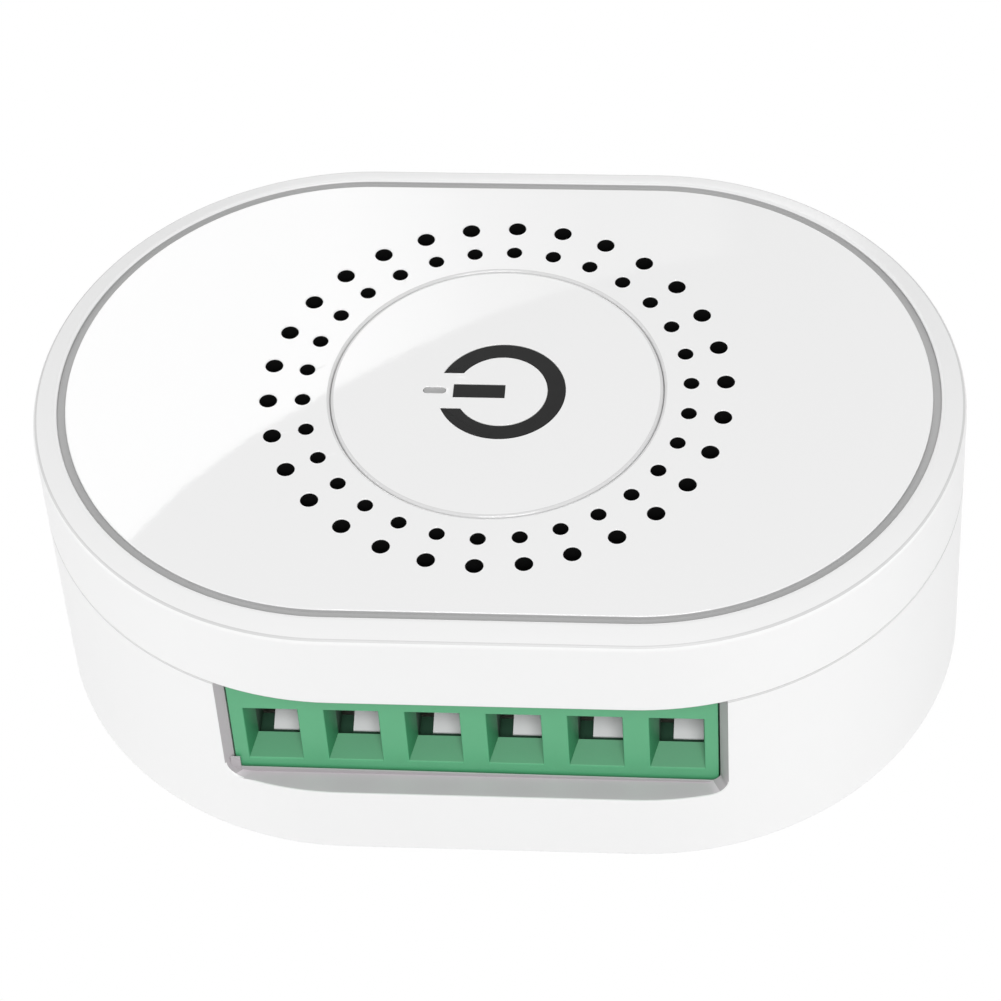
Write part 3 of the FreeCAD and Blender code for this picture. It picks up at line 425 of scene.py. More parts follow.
# colour, roughness, size of grain, its stretch and its depth
plated = {
    "sheetSteel": (grey(0.6), 0.35, 0.3, (1, 12, 1), 0.001),
    "screwSteel": (grey(0.62, (1, 1, 0.98)), 0.35, 0.2, (1, 1, 1), 0.001),
    "tinnedMetal": (grey(0.72, (0.99, 0.99, 1)), 0.32, 0.3, (1, 8, 1), 0.001),
    "cageNickel": (grey(0.6, (1, 0.97, 0.88)), 0.35, 0.25, (1, 1, 6), 0.001),
    "copperWire": (paint(0.7, 0.3, 0.12), 0.3, 0.25, (1, 1, 10), 0.003),
}
looks = {}
for name, values in moulded.items():
    constants = {"Specular_IOR_Level": dullShine[name]} if name in dullShine else {}
    looks[name] = mouldedFinish(name, *values, **constants)
for name, values in plated.items():
    looks[name] = metalFinish(name, *values)
print("finishes made")

# CAD nodes that stay take the finish of their slot: caseWhite for case_white and so on
otherLooks = {"gloss_white": "plateWhite", "light_pipe": "pipeGrey"}
for part in frame["record"]["subparts"]:
    slot = part["material_slot"]
    first, *rest = slot.split("_")
    look = otherLooks.get(slot, first + "".join(word.title() for word in rest))
    for holder in frame["nodes"][part["node"]].material_slots:
        holder.material = looks[look].material
print("CAD nodes dressed")

# top cover
cover = {
    "length": 58.4, "depth": 40.2, "top": 21.0, "parting": 14.6, "partingSoft": 0.12,
    "rimWidth": 1.575, "rimFlat": 0.25, "rimDrop": 0.6, "rimRound": 0.27, "rimSoft": 0.1,
    "deckTop": 20.0, "deckUnder": 18.8, "wall": 1.85, "rebateTop": 16.1, "rebateInset": 0.95,
    "holeRadius": 10.45, "holeSides": 128, "groove": 0.52, "grooveDeep": 0.3, "seatGap": 0.002,
    "lineHigh": 0.1, "lineDeep": 0.15, "edgeHigh": 1, "edgeDeep": 0.5, "edgeSlope": (0.68, 0.9),
    "boreGap": 0.03, "boreSlope": 0.5,
}
# both rings of vents, each with the ring's radius and the vent's
vents = {
    "count": 30, "turn": math.radians(4.6), "rings": ((14.3, 0.56), (12.15, 0.49)),
    "relief": 0.1, "soft": 0.07, "sides": 24,
}


def ventPins(low, high, relief=0.0):
    rings = []
    for ring, radius in vents["rings"]:
        pin = bar("pins", ring * math.cos(vents["turn"]), ring * math.sin(vents["turn"]), low, high,
                  radius + relief, vents["sides"])
        work(pin, "VERT")
        takeAll()
        bpy.ops.mesh.spin(steps=vents["count"], dupli=True, angle=2 * math.pi,
                          center=(0, 0, 0), axis=(0, 0, 1))
        weld()
        rings.append(done(pin))
    return join(rings, "pins")


def ventDistance(place):
    # how far a place is from the nearest vent's middle, and that vent's radius
    step = math.pi * 2 / vents["count"]
    angle = math.atan2(place.y, place.x) - vents["turn"]
    nearest = round(angle / step) * step + vents["turn"]
    found = []
    for ring, radius in vents["rings"]:
        middle = Vector((ring * math.cos(nearest), ring * math.sin(nearest)))
        found.append(((place.xy - middle).length, radius))
    return min(found)


def inVent(part, reach):
    return all(gap < radius + reach for gap, radius in map(ventDistance, corners(part) + [centre(part)]))


def edgeInset(place):
    # how far a place lies inside the case's outline
    arc = (cover["length"] - cover["depth"]) / 2
    across = max(abs(place.x) - arc, 0.0)
    return cover["depth"] / 2 - math.hypot(across, place.y)


def partingEdge(part):
    return flatAt(cover["parting"])(part) and every(part, lambda place: edgeInset(place) < near)


def makeCover():
    piece = stadium("topCover", cover["length"], cover["depth"], cover["parting"])
    thicken(piece, cover["top"] - cover["rimDrop"] - cover["parting"])
    drawIn(cover["rimWidth"] - cover["rimFlat"], cover["rimDrop"])
    drawIn(cover["rimFlat"])
    lift(-cover["grooveDeep"])
    drawIn(cover["groove"] - cover["seatGap"])
    lift(cover["deckTop"] - cover["top"] + cover["grooveDeep"])
    # the underside: rebate over the lower shell's lip, then the hollow
    choose(piece, "FACE", flatAt(cover["parting"]))
    bpy.ops.mesh.flip_normals()
    drawIn(cover["rebateInset"])
    lift(cover["rebateTop"] - cover["parting"])
    drawIn(cover["wall"] - cover["rebateInset"])
    lift(cover["deckUnder"] - cover["rebateTop"])
    closeUp()
    done(piece)
    roundOff(piece, flatAt(cover["top"] - cover["rimDrop"]), cover["rimRound"], steps=5)
    roundOff(piece, lambda part: flatAt(cover["top"])(part)
             and every(part, lambda place: edgeInset(place) > cover["rimWidth"] - near), cover["rimSoft"])
    roundOff(piece, partingEdge, cover["partingSoft"])
    low = cover["deckUnder"] - past
    carve(piece, bar("hole", 0, 0, low, cover["top"], cover["holeRadius"], cover["holeSides"]))
    carve(piece, ventPins(low, cover["top"], vents["relief"]))
    return tidyUp(piece)


def coverLine(part):
    # the parting line and the outer edge of the rim, whose rounded faces take a painted shade line
    middle = centre(part)
    inset = edgeInset(middle)
    shallow, steep = cover["edgeSlope"]
    return (middle.z < cover["parting"] + cover["lineHigh"] and inset < cover["lineDeep"]
            or middle.z > cover["top"] - cover["edgeHigh"] and inset < cover["edgeDeep"]
            and shallow < part.normal.z < steep)


def coverBore(part):
    # the vent bores' walls in the deck, which take black as painted shade
    return (cover["deckUnder"] - touch < centre(part).z < cover["deckTop"] + touch
            and abs(part.normal.z) < cover["boreSlope"] and inVent(part, vents["relief"] + cover["boreGap"]))


def coverGroove(part):
    # the groove round the face plate, which takes grey as painted shade
    middle = centre(part)
    return (cover["deckTop"] - cover["lineHigh"] < middle.z < cover["top"] - cover["rimSoft"]
            and edgeInset(middle) > cover["rimWidth"] - near)


topCover = finish(makeCover(), "case", "case_white", "caseWhite", "top_cover")
# painted shade line along the parting line and the rim's outer edge
dress(topCover, 2, "seamGrey", coverLine)
# painted shade: black in the vent bores
dress(topCover, 3, "boreBlack", coverBore)
# painted shade: grey in the groove round the plate
dress(topCover, 1, "grooveGrey", coverGroove)
print("top cover:", len(topCover.data.polygons), "faces")

# face plate with its vents
plate = {"top": 21.0, "under": 20.0, "soft": 0.07, "seamSoft": 0.2, "seamShare": 0.9, "sideReach": 0.05}


def makePlate():
    inset = cover["rimWidth"] + cover["groove"]
    piece = stadium("facePlate", cover["length"] - 2 * inset, cover["depth"] - 2 * inset, plate["under"])
    thicken(piece, plate["top"] - plate["under"])
    closeUp()
    done(piece)
    low, high = plate["under"] - past, plate["top"] + past
    carve(piece, bar("hole", 0, 0, low, high, cover["holeRadius"], cover["holeSides"]))
    carve(piece, ventPins(low, high))

    def outerEdge(part):
        return flatAt(plate["top"])(part) and every(part, lambda place: abs(edgeInset(place) - inset) < near)

    def seamEdge(part):
        return flatAt(plate["top"])(part) \
            and every(part, lambda place: abs(place.xy.length - cover["holeRadius"]) < near)

    def ventEdge(part):
        return flatAt(plate["top"])(part) and all(
            abs(gap - radius) < near for gap, radius in map(ventDistance, corners(part) + [centre(part)]))
    roundOff(piece, outerEdge, plate["soft"])
    roundOff(piece, seamEdge, plate["seamSoft"], steps=4)
    roundOff(piece, ventEdge, vents["soft"])
    tidyUp(piece)
    finish(piece, "case", "gloss_white", "plateWhite", "face_plate")
    seamReach = cover["holeRadius"] + plate["seamSoft"] * plate["seamShare"]
    # painted shade: black on the vents' walls below their rounded edges
    dress(piece, 1, "boreBlack", lambda part: inVent(part, near)
          and min(place.z for place in corners(part)) < plate["top"] - 2 * vents["soft"])
    # painted shade on the plate's rounded edge at the button's seam
    dress(piece, 3, "palerGrey", lambda part: centre(part).xy.length < seamReach and part.normal.z < faceUp)
    # painted shade: grey on the plate's side wall in the groove
    return dress(piece, 2, "grooveGrey", lambda part: centre(part).z < plate["top"] - plate["soft"]
                 and abs(edgeInset(centre(part)) - inset) < plate["sideReach"])


facePlate = makePlate()
print("face plate:", len(facePlate.data.polygons), "faces")

# button, its symbol and the light pipe
button = {
    "radius": 10.43, "top": 21.0, "flangeRadius": 11.15, "flangeLow": 18.05, "flangeTop": 18.75,
    "hollowRadius": 9.25, "roof": 20.0, "stemRadius": 1.5, "stemLow": 18.3, "soft": 0.22, "sides": 144,
    "pocketReach": 6, "pocketEdge": 3.5, "slope": 0.05,
}
symbol = {
    "middle": 0.3, "radius": 4.0, "stroke": 1.1, "gap": 3.0, "deep": 0.3, "sunk": 0.03, "fit": 0.02,
    "barLeft": -2.7, "barRight": 0.5, "soft": 0.04, "edgeSoft": 0.05, "mouthLeft": -6, "sides": 96,
}
pipe = {"x": -3.9, "length": 1.4, "width": 0.5, "guideLength": 1.5, "guideWidth": 1.6, "sunk": 0.02,
        "fit": 0.04, "soft": 0.06, "guideSoft": 0.12, "steps": 12}


def symbolShapes(name, low, high, grow=0.0):
    # a broken ring that opens to the left and the short bar in its opening
    ring = bar(name, symbol["middle"], 0, low, high, symbol["radius"] + grow, symbol["sides"])
    carve(ring, bar(name + "Core", symbol["middle"], 0, low - past, high + past,
                    symbol["radius"] - symbol["stroke"] - grow, symbol["sides"]))
    half = symbol["gap"] / 2 - grow
    carve(ring, block(name + "Mouth", (symbol["mouthLeft"], -half, low - past),
                      (symbol["middle"], half, high + past)))
    half = symbol["stroke"] / 2 + grow
    middle = block(name + "Bar", (symbol["barLeft"] - grow, -half, low),
                   (symbol["barRight"] + grow, half, high))
    return join([ring, middle], name)


def pillBar(name, x, low, high, length, width):
    piece = stadium(name, length, width, low, pipe["steps"])
    thicken(piece, high - low)
    closeUp()
    shift(x)
    return done(piece)


def makeButton():
    piece = startWith(bpy.ops.mesh.primitive_circle_add, "buttonCap", vertices=button["sides"],
                      radius=button["flangeRadius"] * mm, fill_type="NGON",
                      location=(0, 0, button["flangeLow"] * mm))
    settle(piece)
    thicken(piece, button["flangeTop"] - button["flangeLow"])
    drawIn(button["flangeRadius"] - button["radius"])
    lift(button["top"] - button["flangeTop"])
    choose(piece, "FACE", flatAt(button["flangeLow"]))
    drawIn(button["flangeRadius"] - button["hollowRadius"])
    lift(button["roof"] - button["flangeLow"])
    drawIn(button["hollowRadius"] - button["stemRadius"])
    lift(button["stemLow"] - button["roof"])
    closeUp()
    done(piece)
    roundOff(piece, flatAt(button["top"]), button["soft"], steps=5)
    high = button["top"] + past
    carve(piece, symbolShapes("symbolCutter", button["top"] - symbol["deep"], high, symbol["fit"]))
    carve(piece, pillBar("slitCutter", pipe["x"], button["roof"] - past, high,
                         pipe["length"] + pipe["fit"], pipe["width"] + pipe["fit"]))

    def pocketEdge(part):
        return (flatAt(button["top"])(part) and along(part).length < button["pocketEdge"]
                and every(part, lambda place: place.xy.length < button["pocketReach"]))
    roundOff(piece, pocketEdge, symbol["edgeSoft"])
    tidyUp(piece)
    finish(piece, "button", "gloss_white", "plateWhite", "button_cap")
    # painted shade on the cap's rounded edge at the seam
    return dress(piece, 1, "palerGrey", lambda part: button["slope"] < part.normal.z < faceUp
                 and centre(part).xy.length > button["radius"] - button["soft"])


def makeSymbol():
    top = button["top"] - symbol["sunk"]
    piece = symbolShapes("buttonSymbol", button["top"] - symbol["deep"] + touch, top)
    roundOff(piece, flatAt(top), symbol["soft"])
    tidyUp(piece)
    return finish(piece, "button", "symbol_black", "symbolBlack", "button_symbol")


def makePipe():
    top = button["top"] - pipe["sunk"]
    head = pillBar("lightPipe", pipe["x"], button["roof"], top, pipe["length"], pipe["width"])
    roundOff(head, flatAt(top), pipe["soft"])
    long, wide = pipe["guideLength"] / 2, pipe["guideWidth"] / 2
    guide = block("guide", (pipe["x"] - long, -wide, button["flangeLow"]),
                  (pipe["x"] + long, wide, button["roof"]))
    roundOff(guide, anyEdge, pipe["guideSoft"], steps=2)
    piece = join([head, guide], "lightPipe")
    tidyUp(piece)
    return finish(piece, "button", "light_pipe", "pipeGrey", "light_pipe")


buttonCap = makeButton()
makeSymbol()
makePipe()
print("button:", len(buttonCap.data.polygons), "faces")

# lower shell, with the places of the screws and of the terminal block that it makes room for
shell = {
    "floor": 1.6, "baseRound": 0.25, "lipTop": 16.0, "lipInset": 1.05, "lipSoft": 0.15, "ledge": 5.65,
    "notchLeft": -15.85, "notchRight": 14.45, "notchRound": 1.0, "notchBack": -15.85, "notchFront": -22,
    "skinLeft": -16.4, "skinRight": 15.0, "skinLeftY": -18.73, "skinRightY": -19.21, "above": 30,
    "bayFront": -18.4, "bayBack": -13.45, "partingSoft": 0.12, "ribWide": 0.4, "ribHigh": 1.3, "ribSunk": 0.2,
    "lipDeep": 0.1, "lipLeft": 0.36, "lipRight": 0.14, "lipSide": 0.05,
    "postX": 20.0, "postY": 11.5, "postRadius": 1.7, "postTop": 14.2, "postSunk": 0.3, "postSoft": 0.15,
    "pilotRadius": 0.75, "pilotDeep": 6.0, "postSides": 40, "pilotSides": 24,
    "beadLow": 15.05, "beadHigh": 15.55, "beadProud": 0.2, "beadLength": 6.0, "beadSpacing": 18.0,
    "beadSunk": 0.4, "beadSoft": 0.12, "crisp": 0.1, "crispHigh": 1.2, "crispTop": 0.3, "crispBack": -15,
    "crispSide": 0.2, "revealOut": 0.1, "revealSkin": 0.04, "revealDeep": 0.12, "revealFlat": 0.8,
    "revealSteep": 0.2,
}
label = {"y": 4.5, "length": 30.0, "depth": 14.0, "recess": 0.3, "thick": 0.2, "gap": 0.1,
         "recessRound": 0.8, "round": 0.7, "soft": 0.04}
screw = {"y": -13.2, "driverRadius": 1.7, "headLow": 1.9, "headHigh": 3.1, "headRadius": 1.6,
         "shankTop": 7.05, "radius": 1.25, "core": 1.02, "pitch": 0.45, "turns": 7.6, "steps": 24,
         "slotLength": 2.2, "slotWidth": 0.55, "slotDeep": 0.65, "headSoft": 0.25, "neckSoft": 0.06,
         "coreSunk": 0.05, "toothSunk": 0.08, "toothHigh": 0.3, "toothTip": 0.25, "toothHalf": 0.005,
         "waySides": 40, "coreSides": 32}
terminal = {
    "left": -15.75, "right": 14.35, "front": -18.25, "back": -8.65, "low": 1.6, "high": 14.2,
    "browHigh": 14.55, "browBack": -17.95, "faceSoft": 0.07,
    "mouthLow": 6.65, "mouthHigh": 11.6, "mouthWidth": 3.4, "funnelDeep": 1.2, "funnelRise": 1.2,
    "funnelLeft": 0.55, "funnelRight": 0.1, "passageLow": 7.1, "passageBack": -14.9,
    "chamberHalf": 2.1, "chamberDeep": 1.8, "chamberLow": 3.1, "chamberHigh": 13.3, "wallReach": 0.1,
    "contactLow": 7.1, "contactHigh": 7.7, "contactHalf": 1.3, "contactFront": -13.6, "contactSoft": 0.1,
    "tongueLeft": 0.32, "tongueFront": -16.3, "tongueBend": -14.9, "leadIn": 0.5, "tongueSoft": 0.08,
    "tailY": -10.25, "pin": 0.8, "pinHigh": 15.8, "pinSoft": 0.2, "pinHole": 0.42, "mouthStart": 0.08,
    "count": 6, "pitch": 5, "aside": -0.7,
}
poles = [(index - (terminal["count"] - 1) / 2) * terminal["pitch"] + terminal["aside"]
         for index in range(terminal["count"])]


def fromPole(place):
    # how far a place is sideways from the nearest pole
    return min(abs(place.x - x) for x in poles)


def openFront(piece):
    # the notch that shows the wire entries, its sides flared towards the skin, and the block's bay
    left, right, ledge = shell["notchLeft"], shell["notchRight"], shell["ledge"]
    front, face, above = shell["notchFront"], terminal["front"], shell["above"]
    notch = block("notch", (left, front, ledge), (right, face, above))
    work(notch, "VERT")
    for edge, skin, skinY in ((left, shell["skinLeft"], shell["skinLeftY"]),
                              (right, shell["skinRight"], shell["skinRightY"])):
        pick(notch, lambda place: abs(place.x - edge) < touch and place.y < front + touch)
        shift((skin - edge) * (front - face) / (skinY - face))
    done(notch)
    roundOff(notch, lambda part: flatAt(ledge)(part) and frontToBack(part), shell["notchRound"], steps=6)
    carve(piece, notch)
    carve(piece, block("notchInside", (left, face - touch, ledge), (right, shell["notchBack"], above)))
    carve(piece, block("bay", (left, shell["bayFront"], shell["floor"]), (right, shell["bayBack"], above)))
    # the low lip in front of the block, higher on the left, and the small rib at its left end
    outer = shell["bayFront"] - shell["lipDeep"]
    lip = block("lip", (left - shell["lipSide"], outer, ledge - shell["ribSunk"]),
                (right + shell["lipSide"], shell["bayFront"], ledge + shell["lipLeft"]))
    work(lip, "VERT")
    pick(lip, lambda place: place.x > 0 and place.z > ledge)
    shift(z=shell["lipRight"] - shell["lipLeft"])
    carve(piece, done(lip), "UNION")
    rib = block("rib", (left - shell["ribSunk"], outer - near, ledge - shell["ribSunk"]),
                (left + shell["ribWide"], shell["bayFront"] + near, ledge + shell["ribHigh"]))
    carve(piece, rib, "UNION")


def addPost(piece, x, y):
    post = bar("post", x, y, shell["floor"] - shell["postSunk"], shell["postTop"], shell["postRadius"],
               shell["postSides"])
    roundOff(post, flatAt(shell["postTop"]), shell["postSoft"], steps=2)
    carve(post, bar("pilot", x, y, shell["postTop"] - shell["pilotDeep"], shell["postTop"] + past,
                    shell["pilotRadius"], shell["pilotSides"]))
    carve(piece, post, "UNION")


def makeShell():
    piece = stadium("bottomShell", cover["length"], cover["depth"], 0)
    thicken(piece, cover["parting"])
    drawIn(shell["lipInset"])
    lift(shell["lipTop"] - cover["parting"])
    drawIn(cover["wall"] - shell["lipInset"])
    lift(shell["floor"] - shell["lipTop"])
    closeUp()
    done(piece)
    roundOff(piece, flatAt(0), shell["baseRound"], steps=6)
    roundOff(piece, partingEdge, shell["partingSoft"])
    roundOff(piece, flatAt(shell["lipTop"]), shell["lipSoft"], steps=2)
    openFront(piece)
    for x in (-shell["postX"], shell["postX"]):
        for y in (-shell["postY"], shell["postY"]):
            addPost(piece, x, y)
    for x in poles:
        carve(piece, bar("driverHole", x, screw["y"], -past, shell["floor"] + past, screw["driverRadius"]))
    half, deep = label["length"] / 2, label["depth"] / 2
    recess = block("recess", (-half, label["y"] - deep, -past), (half, label["y"] + deep, label["recess"]))
    carve(piece, roundOff(recess, upright, label["recessRound"], steps=6))
    back = cover["depth"] / 2 - shell["lipInset"]
    for x in (-shell["beadSpacing"] / 2, shell["beadSpacing"] / 2):
        bead = block("bead", (x - shell["beadLength"] / 2, back - shell["beadSunk"], shell["beadLow"]),
                     (x + shell["beadLength"] / 2, back + shell["beadProud"], shell["beadHigh"]))
        carve(piece, roundOff(bead, anyEdge, shell["beadSoft"], steps=2), "UNION")

    def crispEdge(part):
        # the outer edges of the notch and of the holes under the screws
        ends = corners(part)
        if flatAt(0)(part):
            return any(all(abs((place.xy - Vector((x, screw["y"]))).length - screw["driverRadius"]) < near
                           for place in ends) for x in poles)
        if any(abs(edgeInset(place)) > touch or place.y > shell["crispBack"]
               or place.z > cover["parting"] - shell["crispTop"] for place in ends):
            return False
        if upright(part):
            sides = [abs(ends[0].x - shell[side]) for side in ("skinLeft", "skinRight")]
            return min(sides) < shell["crispSide"]
        return all(shell["ledge"] - touch < place.z < shell["ledge"] + shell["crispHigh"] for place in ends)
    roundOff(piece, crispEdge, shell["crisp"], steps=2)
    tidyUp(piece)
    finish(piece, "case", "case_white", "caseWhite", "bottom_shell")

    def reveal(part):
        # the ledge and the flared sides round the terminal block, which take painted shade
        middle, out = centre(part), shell["revealOut"]
        if not (shell["ledge"] - touch < middle.z < cover["parting"] - touch
                and middle.y < terminal["front"] + out
                and shell["skinLeft"] - out < middle.x < shell["skinRight"] + out):
            return False
        return (every(part, lambda place: edgeInset(place) > shell["revealSkin"])
                or edgeInset(middle) > shell["revealDeep"])
    steep, level = shell["revealSteep"], shell["revealFlat"]
    # painted shade round the terminal block: darkest on the sloped corners, lighter on the upright sides,
    # lightest on the level ledge
    dress(piece, 1, "sideGrey", reveal)
    dress(piece, 2, "revealGrey", lambda part: reveal(part) and part.normal.z > level)
    dress(piece, 4, "cornerGrey", lambda part: reveal(part) and steep < part.normal.z <= level)
    # painted shade line along the parting line
    return dress(piece, 3, "seamGrey", lambda part: edgeInset(centre(part)) < cover["lineDeep"]
                 and cover["parting"] - cover["lineHigh"] < centre(part).z < cover["parting"] + touch)


bottomShell = makeShell()
print("lower shell:", len(bottomShell.data.polygons), "faces")


def makeLabel():
    half, deep = label["length"] / 2 - label["gap"], label["depth"] / 2 - label["gap"]
    under = label["recess"] - label["thick"]
    piece = block("blankLabel", (-half, label["y"] - deep, under), (half, label["y"] + deep, label["recess"]))
    roundOff(piece, upright, label["round"], steps=6)
    roundOff(piece, flatAt(under), label["soft"], steps=2)
    tidyUp(piece)
    return finish(piece, "case", "label_white", "labelWhite", "blank_label")


makeLabel()


# terminal block
def mouthCutter(x):
    # the funnel of one wire entry: its back is narrower and its floor rises
    half, front = terminal["mouthWidth"] / 2, terminal["front"]
    middle = (terminal["mouthLow"] + terminal["mouthHigh"]) / 2
    mouth = block("mouth", (x - half, front - past, terminal["mouthLow"]),
                  (x + half, front + terminal["funnelDeep"], terminal["mouthHigh"]))
    work(mouth)
    choose(mouth, "FACE", lambda part: every(part, lambda place: place.y < front))
    bpy.ops.mesh.delete(type="FACE")
    done(mouth)
    work(mouth, "VERT")
    for test, move in ((lambda place: place.x < x, {"x": terminal["funnelLeft"]}),
                       (lambda place: place.x > x, {"x": -terminal["funnelRight"]}),
                       (lambda place: place.z < middle, {"z": terminal["funnelRise"]})):
        pick(mouth, lambda place: place.y > front and test(place))
        shift(**move)
    pick(mouth, lambda place: place.y < front)
    shift(y=past)
    choose(mouth, "EDGE", lambda part: every(part, lambda place: abs(place.y - front) < touch))
    bpy.ops.mesh.extrude_region_move(TRANSFORM_OT_translate={"value": (0, -past * mm, 0)})
    bpy.ops.mesh.edge_face_add()
    takeAll()
    bpy.ops.mesh.normals_make_consistent(inside=False)
    return done(mouth)


def makeHousing():
    front, low, high = terminal["front"], terminal["low"], terminal["high"]
    piece = block("terminalHousing", (terminal["left"], front, low),
                  (terminal["right"], terminal["back"], high))
    work(piece)
    choose(piece, "FACE", flatAt(high))
    bpy.ops.mesh.bisect(plane_co=(0, terminal["browBack"] * mm, 0), plane_no=(0, 1, 0))
    choose(piece, "FACE", lambda part: flatAt(high)(part)
           and every(part, lambda place: place.y < terminal["browBack"] + touch))
    lift(terminal["browHigh"] - high)
    done(piece)
    funnelBack = front + terminal["funnelDeep"]
    half, pin, tail = terminal["mouthWidth"] / 2, terminal["pinHole"], terminal["tailY"]
    wide, deep, slot = terminal["chamberHalf"], terminal["chamberDeep"], terminal["contactHalf"] + near
    for x in poles:
        carve(piece, mouthCutter(x))
        left, right = x - half + terminal["funnelLeft"], x + half - terminal["funnelRight"]
        carve(piece, block("passage", (left, funnelBack - touch, terminal["passageLow"]),
                           (right, terminal["passageBack"], terminal["mouthHigh"])))
        carve(piece, block("chamber", (x - wide, screw["y"] - deep, terminal["chamberLow"]),
                           (x + wide, screw["y"] + deep, terminal["chamberHigh"])))
        carve(piece, bar("driverWay", x, screw["y"], low - past,
                         terminal["chamberLow"] + terminal["wallReach"], screw["driverRadius"],
                         screw["waySides"]))
        carve(piece, block("barSlot", (x - slot, screw["y"], terminal["contactLow"] - near),
                           (x + slot, tail + pin, terminal["contactHigh"] + near)))
        carve(piece, block("pinSlot", (x - pin, tail - pin, terminal["contactLow"]),
                           (x + pin, tail + pin, high + past)))

    def onMouth(middle):
        aside, floor, roof = fromPole(middle), terminal["mouthLow"], terminal["mouthHigh"]
        return (aside < half + touch and floor - touch < middle.z < roof + touch
                and min(abs(aside - half), abs(middle.z - floor), abs(middle.z - roof)) < touch)

    def faceEdge(part):
        # the outline of the front face and of its six mouths
        if not every(part, lambda place: abs(place.y - front) < touch):
            return False
        left, right = terminal["left"] + touch, terminal["right"] - touch
        return (every(part, lambda place: not low + touch <= place.z <= terminal["browHigh"] - touch)
                or every(part, lambda place: not left <= place.x <= right)
                or onMouth(centre(part)))
    roundOff(piece, faceEdge, terminal["faceSoft"], steps=2)
    tidyUp(piece)
    finish(piece, "case", "terminal_green", "terminalGreen", "terminal_block_housing")
    reach = terminal["wallReach"]

    def wallDepth(part):
        # how deep the middle of a wall inside a mouth or chamber lies, and nothing for other faces
        middle = centre(part)
        inside = (fromPole(middle) < wide + reach
                  and terminal["chamberLow"] - reach < middle.z < terminal["chamberHigh"] + reach)
        return middle.y if inside else math.inf
    start, end = front + terminal["mouthStart"], funnelBack + near
    # painted shade inside the wire entries: darker green in the funnels, darkest green in the passages behind
    # them
    dress(piece, 1, "mouthGreen", lambda part: start < wallDepth(part) < end)
    return dress(piece, 2, "passageGreen", lambda part: end <= wallDepth(part) < terminal["back"] - reach)


terminalHousing = makeHousing()
print("terminal block:", len(terminalHousing.data.polygons), "faces")


def makeContacts():
    rows = []
    low, high = terminal["contactLow"], terminal["contactHigh"]
    pin, tailY = terminal["pin"] / 2, terminal["tailY"]
    half, front, bend = terminal["contactHalf"], terminal["contactFront"], terminal["tongueBend"]
    for x in poles:
        strip = block("bar", (x - half, front, low), (x + half, tailY + pin, high))
        right = x + terminal["mouthWidth"] / 2 - terminal["funnelRight"]
        tongue = block("tongue", (x - terminal["tongueLeft"], terminal["tongueFront"], low),
                       (right, front + near, high))
        tail = block("tail", (x - pin, tailY - pin, low + near),
                     (x + pin, tailY + pin, terminal["pinHigh"]))
        roundOff(tail, flatAt(terminal["pinHigh"]), terminal["pinSoft"])
        # the tongue's lead-in bends down towards the wire
        work(tongue, "VERT")
        takeAll()
        bpy.ops.mesh.bisect(plane_co=(0, bend * mm, 0), plane_no=(0, 1, 0))
        pick(tongue, lambda place: place.y < bend - touch and place.z > high - touch)
        shift(z=-terminal["leadIn"])
        done(tongue)
        roundOff(tongue, flatAt(high - terminal["leadIn"]), terminal["tongueSoft"])
        roundOff(strip, upright, terminal["contactSoft"], steps=2)
        rows += [strip, tongue, tail]
    piece = join(rows, "terminalContacts")
    tidyUp(piece)
    return finish(piece, "case", "tinned_metal", "contactTin", "terminal_contacts")


makeContacts()


def makeScrew():
    x, y, neck = poles[0], screw["y"], screw["headHigh"]
    piece = bar("terminalScrew1", x, y, screw["headLow"], neck, screw["headRadius"])
    roundOff(piece, flatAt(screw["headLow"]), screw["headSoft"], steps=4)
    roundOff(piece, flatAt(neck), screw["neckSoft"], steps=2)
    across = screw["slotLength"], screw["slotWidth"]
    for long, wide in (across, across[::-1]):
        carve(piece, block("slot", (x - long / 2, y - wide / 2, screw["headLow"] - past),
                           (x + long / 2, y + wide / 2, screw["headLow"] + screw["slotDeep"])))
    core = bar("core", x, y, neck - screw["coreSunk"], screw["shankTop"], screw["core"],
               screw["coreSides"])
    roundOff(core, flatAt(screw["shankTop"]), screw["headSoft"], steps=2)
    # the thread: a small tooth drawn round the core, a little higher with each step
    root = neck + screw["toothSunk"]
    tooth = block("thread", (x + screw["core"] - screw["toothSunk"], y - screw["toothHalf"], root),
                  (x + screw["radius"], y + screw["toothHalf"], root + screw["toothHigh"]))
    work(tooth, "VERT")
    pick(tooth, lambda place: place.x > x + screw["core"])
    bpy.ops.transform.resize(value=(1, 1, screw["toothTip"]))
    choose(tooth, "FACE", lambda part: every(part, lambda place: place.y > y))
    middle = (x * mm, y * mm, 0)
    steps = screw["steps"]
    for step in range(int(steps * screw["turns"])):
        lift(screw["pitch"] / steps)
        bpy.ops.transform.rotate(value=-2 * math.pi / steps, orient_axis="Z", center_override=middle)
    piece = join([piece, core, done(tooth)], "terminalScrew1")
    return tidyUp(piece, angle=38)


cage = {"low": 6.0, "high": 11.4, "width": 4.0, "depth": 3.4, "wall": 0.45, "nut": 1.0, "roof": 0.7,
        "round": 0.35, "soft": 0.05, "nutGap": 0.05, "nutSides": 40, "longest": 8}


